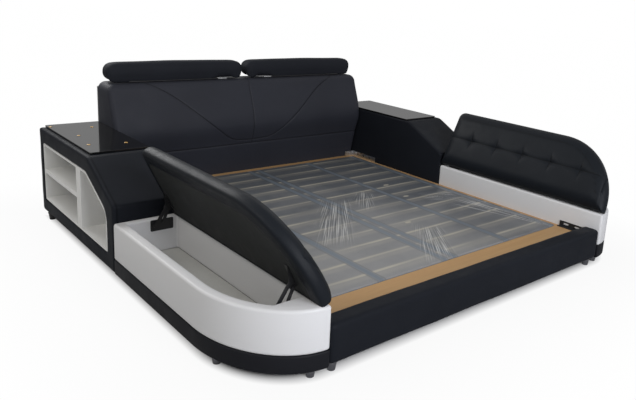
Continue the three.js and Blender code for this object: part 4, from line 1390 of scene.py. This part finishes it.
def slat_frame(side, turn):
    w = tube_width
    middle = frame_middle
    spans = [
        ((frame_inner, frame_front), (frame_inner + w, frame_rear)),
        ((frame_outer - w, frame_front), (frame_outer, frame_rear)),
        ((middle - w / 2, frame_front + w), (middle + w / 2, frame_rear - w)),
        ((frame_inner + w, frame_front), (frame_outer - w, frame_front + w)),
        ((frame_inner + w, frame_rear - w), (frame_outer - w, frame_rear)),
    ]
    tubes = [
        tube(f"tube_{k}", (*low, tube_low), (*high, tube_high)) for k, (low, high) in enumerate(spans)
    ]
    steel = smooth(join_pieces(tubes, f"{side}_slat_tubes"), 50)
    bays = [(frame_inner + w, middle - w / 2), (middle + w / 2, frame_outer - w)]
    slats, sockets = [], []
    for x0, x1 in bays:
        for k in range(slat_count):
            y = first_slat + k * slat_pitch
            slats.append(slat("slat", x0 + 0.004, x1 - 0.004, y))
            for x in (x0 - 0.003, x1 - 0.015):
                low = (x, y - 0.003, tube_high - 0.025)
                high = (x + 0.018, y + slat_width + 0.003, tube_high - 0.002)
                socket = box_piece("socket", low, high)
                sockets.append(soften(socket, 0.004, 2, 40))
    wood = smooth(join_pieces(slats, f"{side}_slats"), 50)
    caps = smooth(join_pieces(sockets, f"{side}_slat_sockets"), 50)
    legs = []
    for share in (0.3, 0.72):
        y = frame_front + share * (frame_rear - frame_front)
        deselect()
        bpy.ops.mesh.primitive_cylinder_add(
            vertices=32, radius=0.018, depth=tube_low, location=(frame_inner + w / 2, y, tube_low / 2)
        )
        legs.append(soften(new_piece("leg"), 0.002, 2, 50))
    stand = smooth(join_pieces(legs, f"{side}_slat_legs"), 50)
    made = [(steel, grey_steel), (wood, slat_wood), (caps, black_plastic_and_shade), (stand, grey_steel)]
    for piece, material in made:
        if turn < 0:
            piece.data.transform(Matrix.Scale(-1, 4, (1, 0, 0)))
            piece.data.flip_normals()
        finish_piece(piece, "root", material, "grey_steel" if piece is not wood else "pine")
    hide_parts(f"{side}_slat_frame")


for side, turn in sides.items():
    slat_frame(side, turn)
print("slat frames from", round(frame_front, 3), "to", round(frame_rear, 3))

# %% [markdown]
# ## Packing film
#
# A thin film still lies over the slats. It veils them with a milky grey and catches light in long fine
# wrinkles, whose glints and shade are painted highlights and painted shade in its colour. It is one
# sheet laid flat, with its wrinkles pressed into a fine grid. Its material is nearly opaque, because a
# dense film with real transparency turned the slats dark: the paler tones of slats and the bluer ones
# of tubes are worked out from where they lie and are tinted into the film's own colour, with painted
# shade beside each tube. Painted light also makes the film lighter towards the foot and darker towards
# the head and the right side, in soft blotches.

# %% Film
film_height = 0.1615
film_low, film_high = Vector((-0.880, frame_front + 0.001)), Vector((0.880, frame_rear - 0.001))

towards_foot, crosswise = (-0.628, -0.779), (0.95, -0.31)
bundles = (
    (Vector((-0.13, -0.17)), 0.46, 0.115, towards_foot),
    (Vector((0.24, 0.02)), 0.22, 0.070, towards_foot),
    (Vector((0.093, -0.682)), 0.31, 0.100, towards_foot),
    (Vector((0.71, -0.17)), 0.14, 0.110, crosswise),
    (Vector((-0.50, 0.35)), 0.16, 0.040, towards_foot),
)
fan_point = Vector((0.865, -1.0))
torn_spots = (Vector((0.566, 0.188)), Vector((0.512, -0.054)), Vector((0.185, -0.407)))


def film_folds(x, y):
    """Fine folds: a coordinate across them, one along them, and their strength."""
    best = (0, 0, 0)
    for centre, length, width, (dx, dy) in bundles:
        along = (x - centre.x) * dx + (y - centre.y) * dy
        across = (x - centre.x) * dy - (y - centre.y) * dx
        ragged = 0.35 * noise.noise(Vector((x * 9, y * 9, 2.2)))
        strength = ease(1.5 - 1.6 * abs(along) / length + ragged)
        strength *= ease(1.6 - 1.7 * abs(across) / width + ragged)
        if strength > best[2]:
            best = (across / (1 + 0.4 * along / length), along, strength)
    reach = math.hypot(fan_point.x - x, y - fan_point.y)
    angle = math.atan2(fan_point.x - x, y - fan_point.y)
    ragged = 0.5 * noise.noise(Vector((angle * 9, 0, 5.1)))
    strength = ease(1.5 - 1.2 * abs(angle - 0.17) / 0.17) * ease((reach - 0.10) / 0.08)
    strength *= ease((0.78 + 0.2 * ragged - reach) / 0.15)
    if strength > best[2]:
        best = (0.24 * angle, 0.5 * reach, strength)
    return best


def film_touch(x, y):
    """Where slats and tubes show through the film that lies on them, and the shade beside a tube."""
    torn = max(ease(2 - math.hypot((x - spot.x) / 0.013, (y - spot.y) / 0.007)) for spot in torn_spots)
    tubes = (frame_inner + tube_width / 2, frame_middle, frame_outer - tube_width / 2)
    off_tube = min(abs(abs(x) - tube) for tube in tubes)
    row = (y - first_slat - 0.75 * slat_width) / slat_pitch
    off = (row - round(row)) * slat_pitch
    along = noise.noise(Vector((x * 4, round(row) * 3.7, 0.4)))
    crown = ease(1.4 - abs(off) / 0.009) * (0.75 + 0.9 * along)
    body = 0.22 * ease(1.4 - abs(off + 0.3 * slat_width) / (0.6 * slat_width))
    on_slat = max(crown, body) * ease((off_tube - 0.016) / 0.010)
    return max(on_slat, 1.4 * torn, 0), ease(1.5 - off_tube / 0.015), ease(1 - abs(off_tube - 0.022) / 0.007)


def film_wrinkle(x, y):
    """Height of the film above its lying plane; its border is turned down."""
    border = min(x - film_low.x, film_high.x - x, y - film_low.y, film_high.y - y)
    long_fold = noise.noise(Vector((x * 5 + 2.5 * y, y * 1.3, 3.1)))
    across, along, strength = film_folds(x, y)
    ridges = 1 - abs(noise.noise(Vector((across * 60, along * 3, 7.7)))) * 2
    height = 0.0020 * long_fold + 0.0035 * strength * max(ridges, 0) ** 3
    return height * ease(border / 0.02) - 0.0058 * (1 - ease(border / 0.006))


def film():
    columns, rows = 290, 320

    def place(i, j):
        x = film_low.x + (film_high.x - film_low.x) * min(max((i - 1) / (columns - 2), 0), 1)
        y = film_low.y + (film_high.y - film_low.y) * min(max((j - 1) / (rows - 2), 0), 1)
        if i in (1, columns - 1):
            x += 0.006 if i == 1 else -0.006
        if j in (1, rows - 1):
            y += 0.006 if j == 1 else -0.006
        return Vector((x, y, film_height + film_wrinkle(x, y)))

    sheet = smooth(grid_surface("packing_film", columns, rows, place), 80)
    points = [v.co.copy() for v in sheet.data.vertices]
    for name, marks in (("folds", film_folds), ("seen_through_and_shade", film_touch)):
        layer = sheet.data.attributes.new(name, "FLOAT_VECTOR", "POINT")
        layer.data.foreach_set("vector", [value for p in points for value in marks(p.x, p.y)])
    return sheet


def film_material():
    """Milky film that takes the tone of what it lies on, with painted highlights and painted shade along its
    fine folds, and painted light across it.
    """
    material, tree, shader, place = material_with("packing_film", IOR=1.45, Specular_IOR_Level=0.3)
    link = tree.links.new

    def parts_of(source):
        return wired(tree, "ShaderNodeSeparateXYZ", {0: source}).outputs

    def painted_fold_light(start, end, share):
        return calc(tree, "MULTIPLY", remap(tree, lines, start, end, 0.0, share), strength)

    folds = node(tree, "ShaderNodeAttribute", attribute_name="folds").outputs["Vector"]
    seen_through_and_shade = parts_of(node(tree, "ShaderNodeAttribute", attribute_name="seen_through_and_shade").outputs["Vector"])
    strength = parts_of(folds)["Z"]
    stretch = wired(tree, "ShaderNodeMapping", {"Vector": folds}, {"Scale": (175, 2.4, 0)}).outputs["Vector"]
    fine = {"Scale": 1.0, "Detail": 3.0, "Roughness": 0.55}
    lines = wired(tree, "ShaderNodeTexNoise", {"Vector": stretch}, fine).outputs["Fac"]
    # White fold lines are painted highlights and dark fold lines are painted shade along the wrinkles.
    white, dark = painted_fold_light(0.51, 0.62, 0.95), painted_fold_light(0.47, 0.36, 0.9)
    broad = {"Scale": 3.0, "Detail": 5.0, "Roughness": 0.6}
    cloud = wired(tree, "ShaderNodeTexNoise", {"Vector": place}, broad).outputs["Fac"]
    # Painted light: lighter towards the foot, darker towards the head and the right, in soft blotches.
    aside = calc(tree, "ADD", parts_of(place)["Y"], remap(tree, parts_of(place)["X"], 0.0, 0.8, 0.0, 1.05))
    blotched = calc(tree, "ADD", aside, spread(tree, cloud, 0.75, -0.75))
    forward = remap(tree, blotched, 0.6, -0.8)
    colour = colour_mix(tree, forward, (0.115, 0.126, 0.142), (0.272, 0.273, 0.276))
    # Tones of slats and tubes under the film, the painted shade beside each tube, then the painted shade and
    # highlights of the folds.
    for factor, tint in (
        (seen_through_and_shade["X"], (0.47, 0.44, 0.37)),
        (seen_through_and_shade["Y"], (0.175, 0.205, 0.240)),
        (spread(tree, seen_through_and_shade["Z"], 0.0, 0.4), (0.06, 0.07, 0.08)),
        (dark, (0.09, 0.10, 0.115)),
        (white, (0.62, 0.62, 0.61)),
    ):
        colour = colour_mix(tree, factor, colour, tint)
    link(colour, shader.inputs["Base Color"])
    link(calc(tree, "MAXIMUM", spread(tree, cloud, 0.84, 0.97), white), shader.inputs["Alpha"])
    link(spread(tree, cloud, 0.22, 0.44), shader.inputs["Roughness"])
    bump(tree, shader, lines, 0.4, 0.002)
    return material


film_sheet = finish_piece(film(), "root", film_material(), "black_glass")
print("film", [round(v, 3) for v in film_sheet.dimensions])

# %% [markdown]
# ## Glass tops
#
# Five small amber pads are stuck on the left glass top, where the photograph shows them, for a lamp to
# stand on. None can be seen on the right one.

# %% Amber pads
pad_places = ((1.213, 1.067), (1.008, 0.974), (1.139, 0.790), (1.163, 0.565), (0.987, 0.532))
glass_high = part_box("right_glass_top")[1].z


def amber_pad(name, x, y):
    deselect()
    thick = 0.0016
    bpy.ops.mesh.primitive_cylinder_add(
        vertices=28, radius=0.009, depth=thick, location=(x, y, glass_high + thick / 2)
    )
    return smooth(soften(new_piece(name), 0.0005, 2, 50), 50)


for k, (x, y) in enumerate(pad_places):
    pad = amber_pad(f"left_amber_pad_{k + 1}", -min(x, 1.2), y)
    finish_piece(pad, "root", amber, "bright_steel")
print(len(pad_places), "pads")
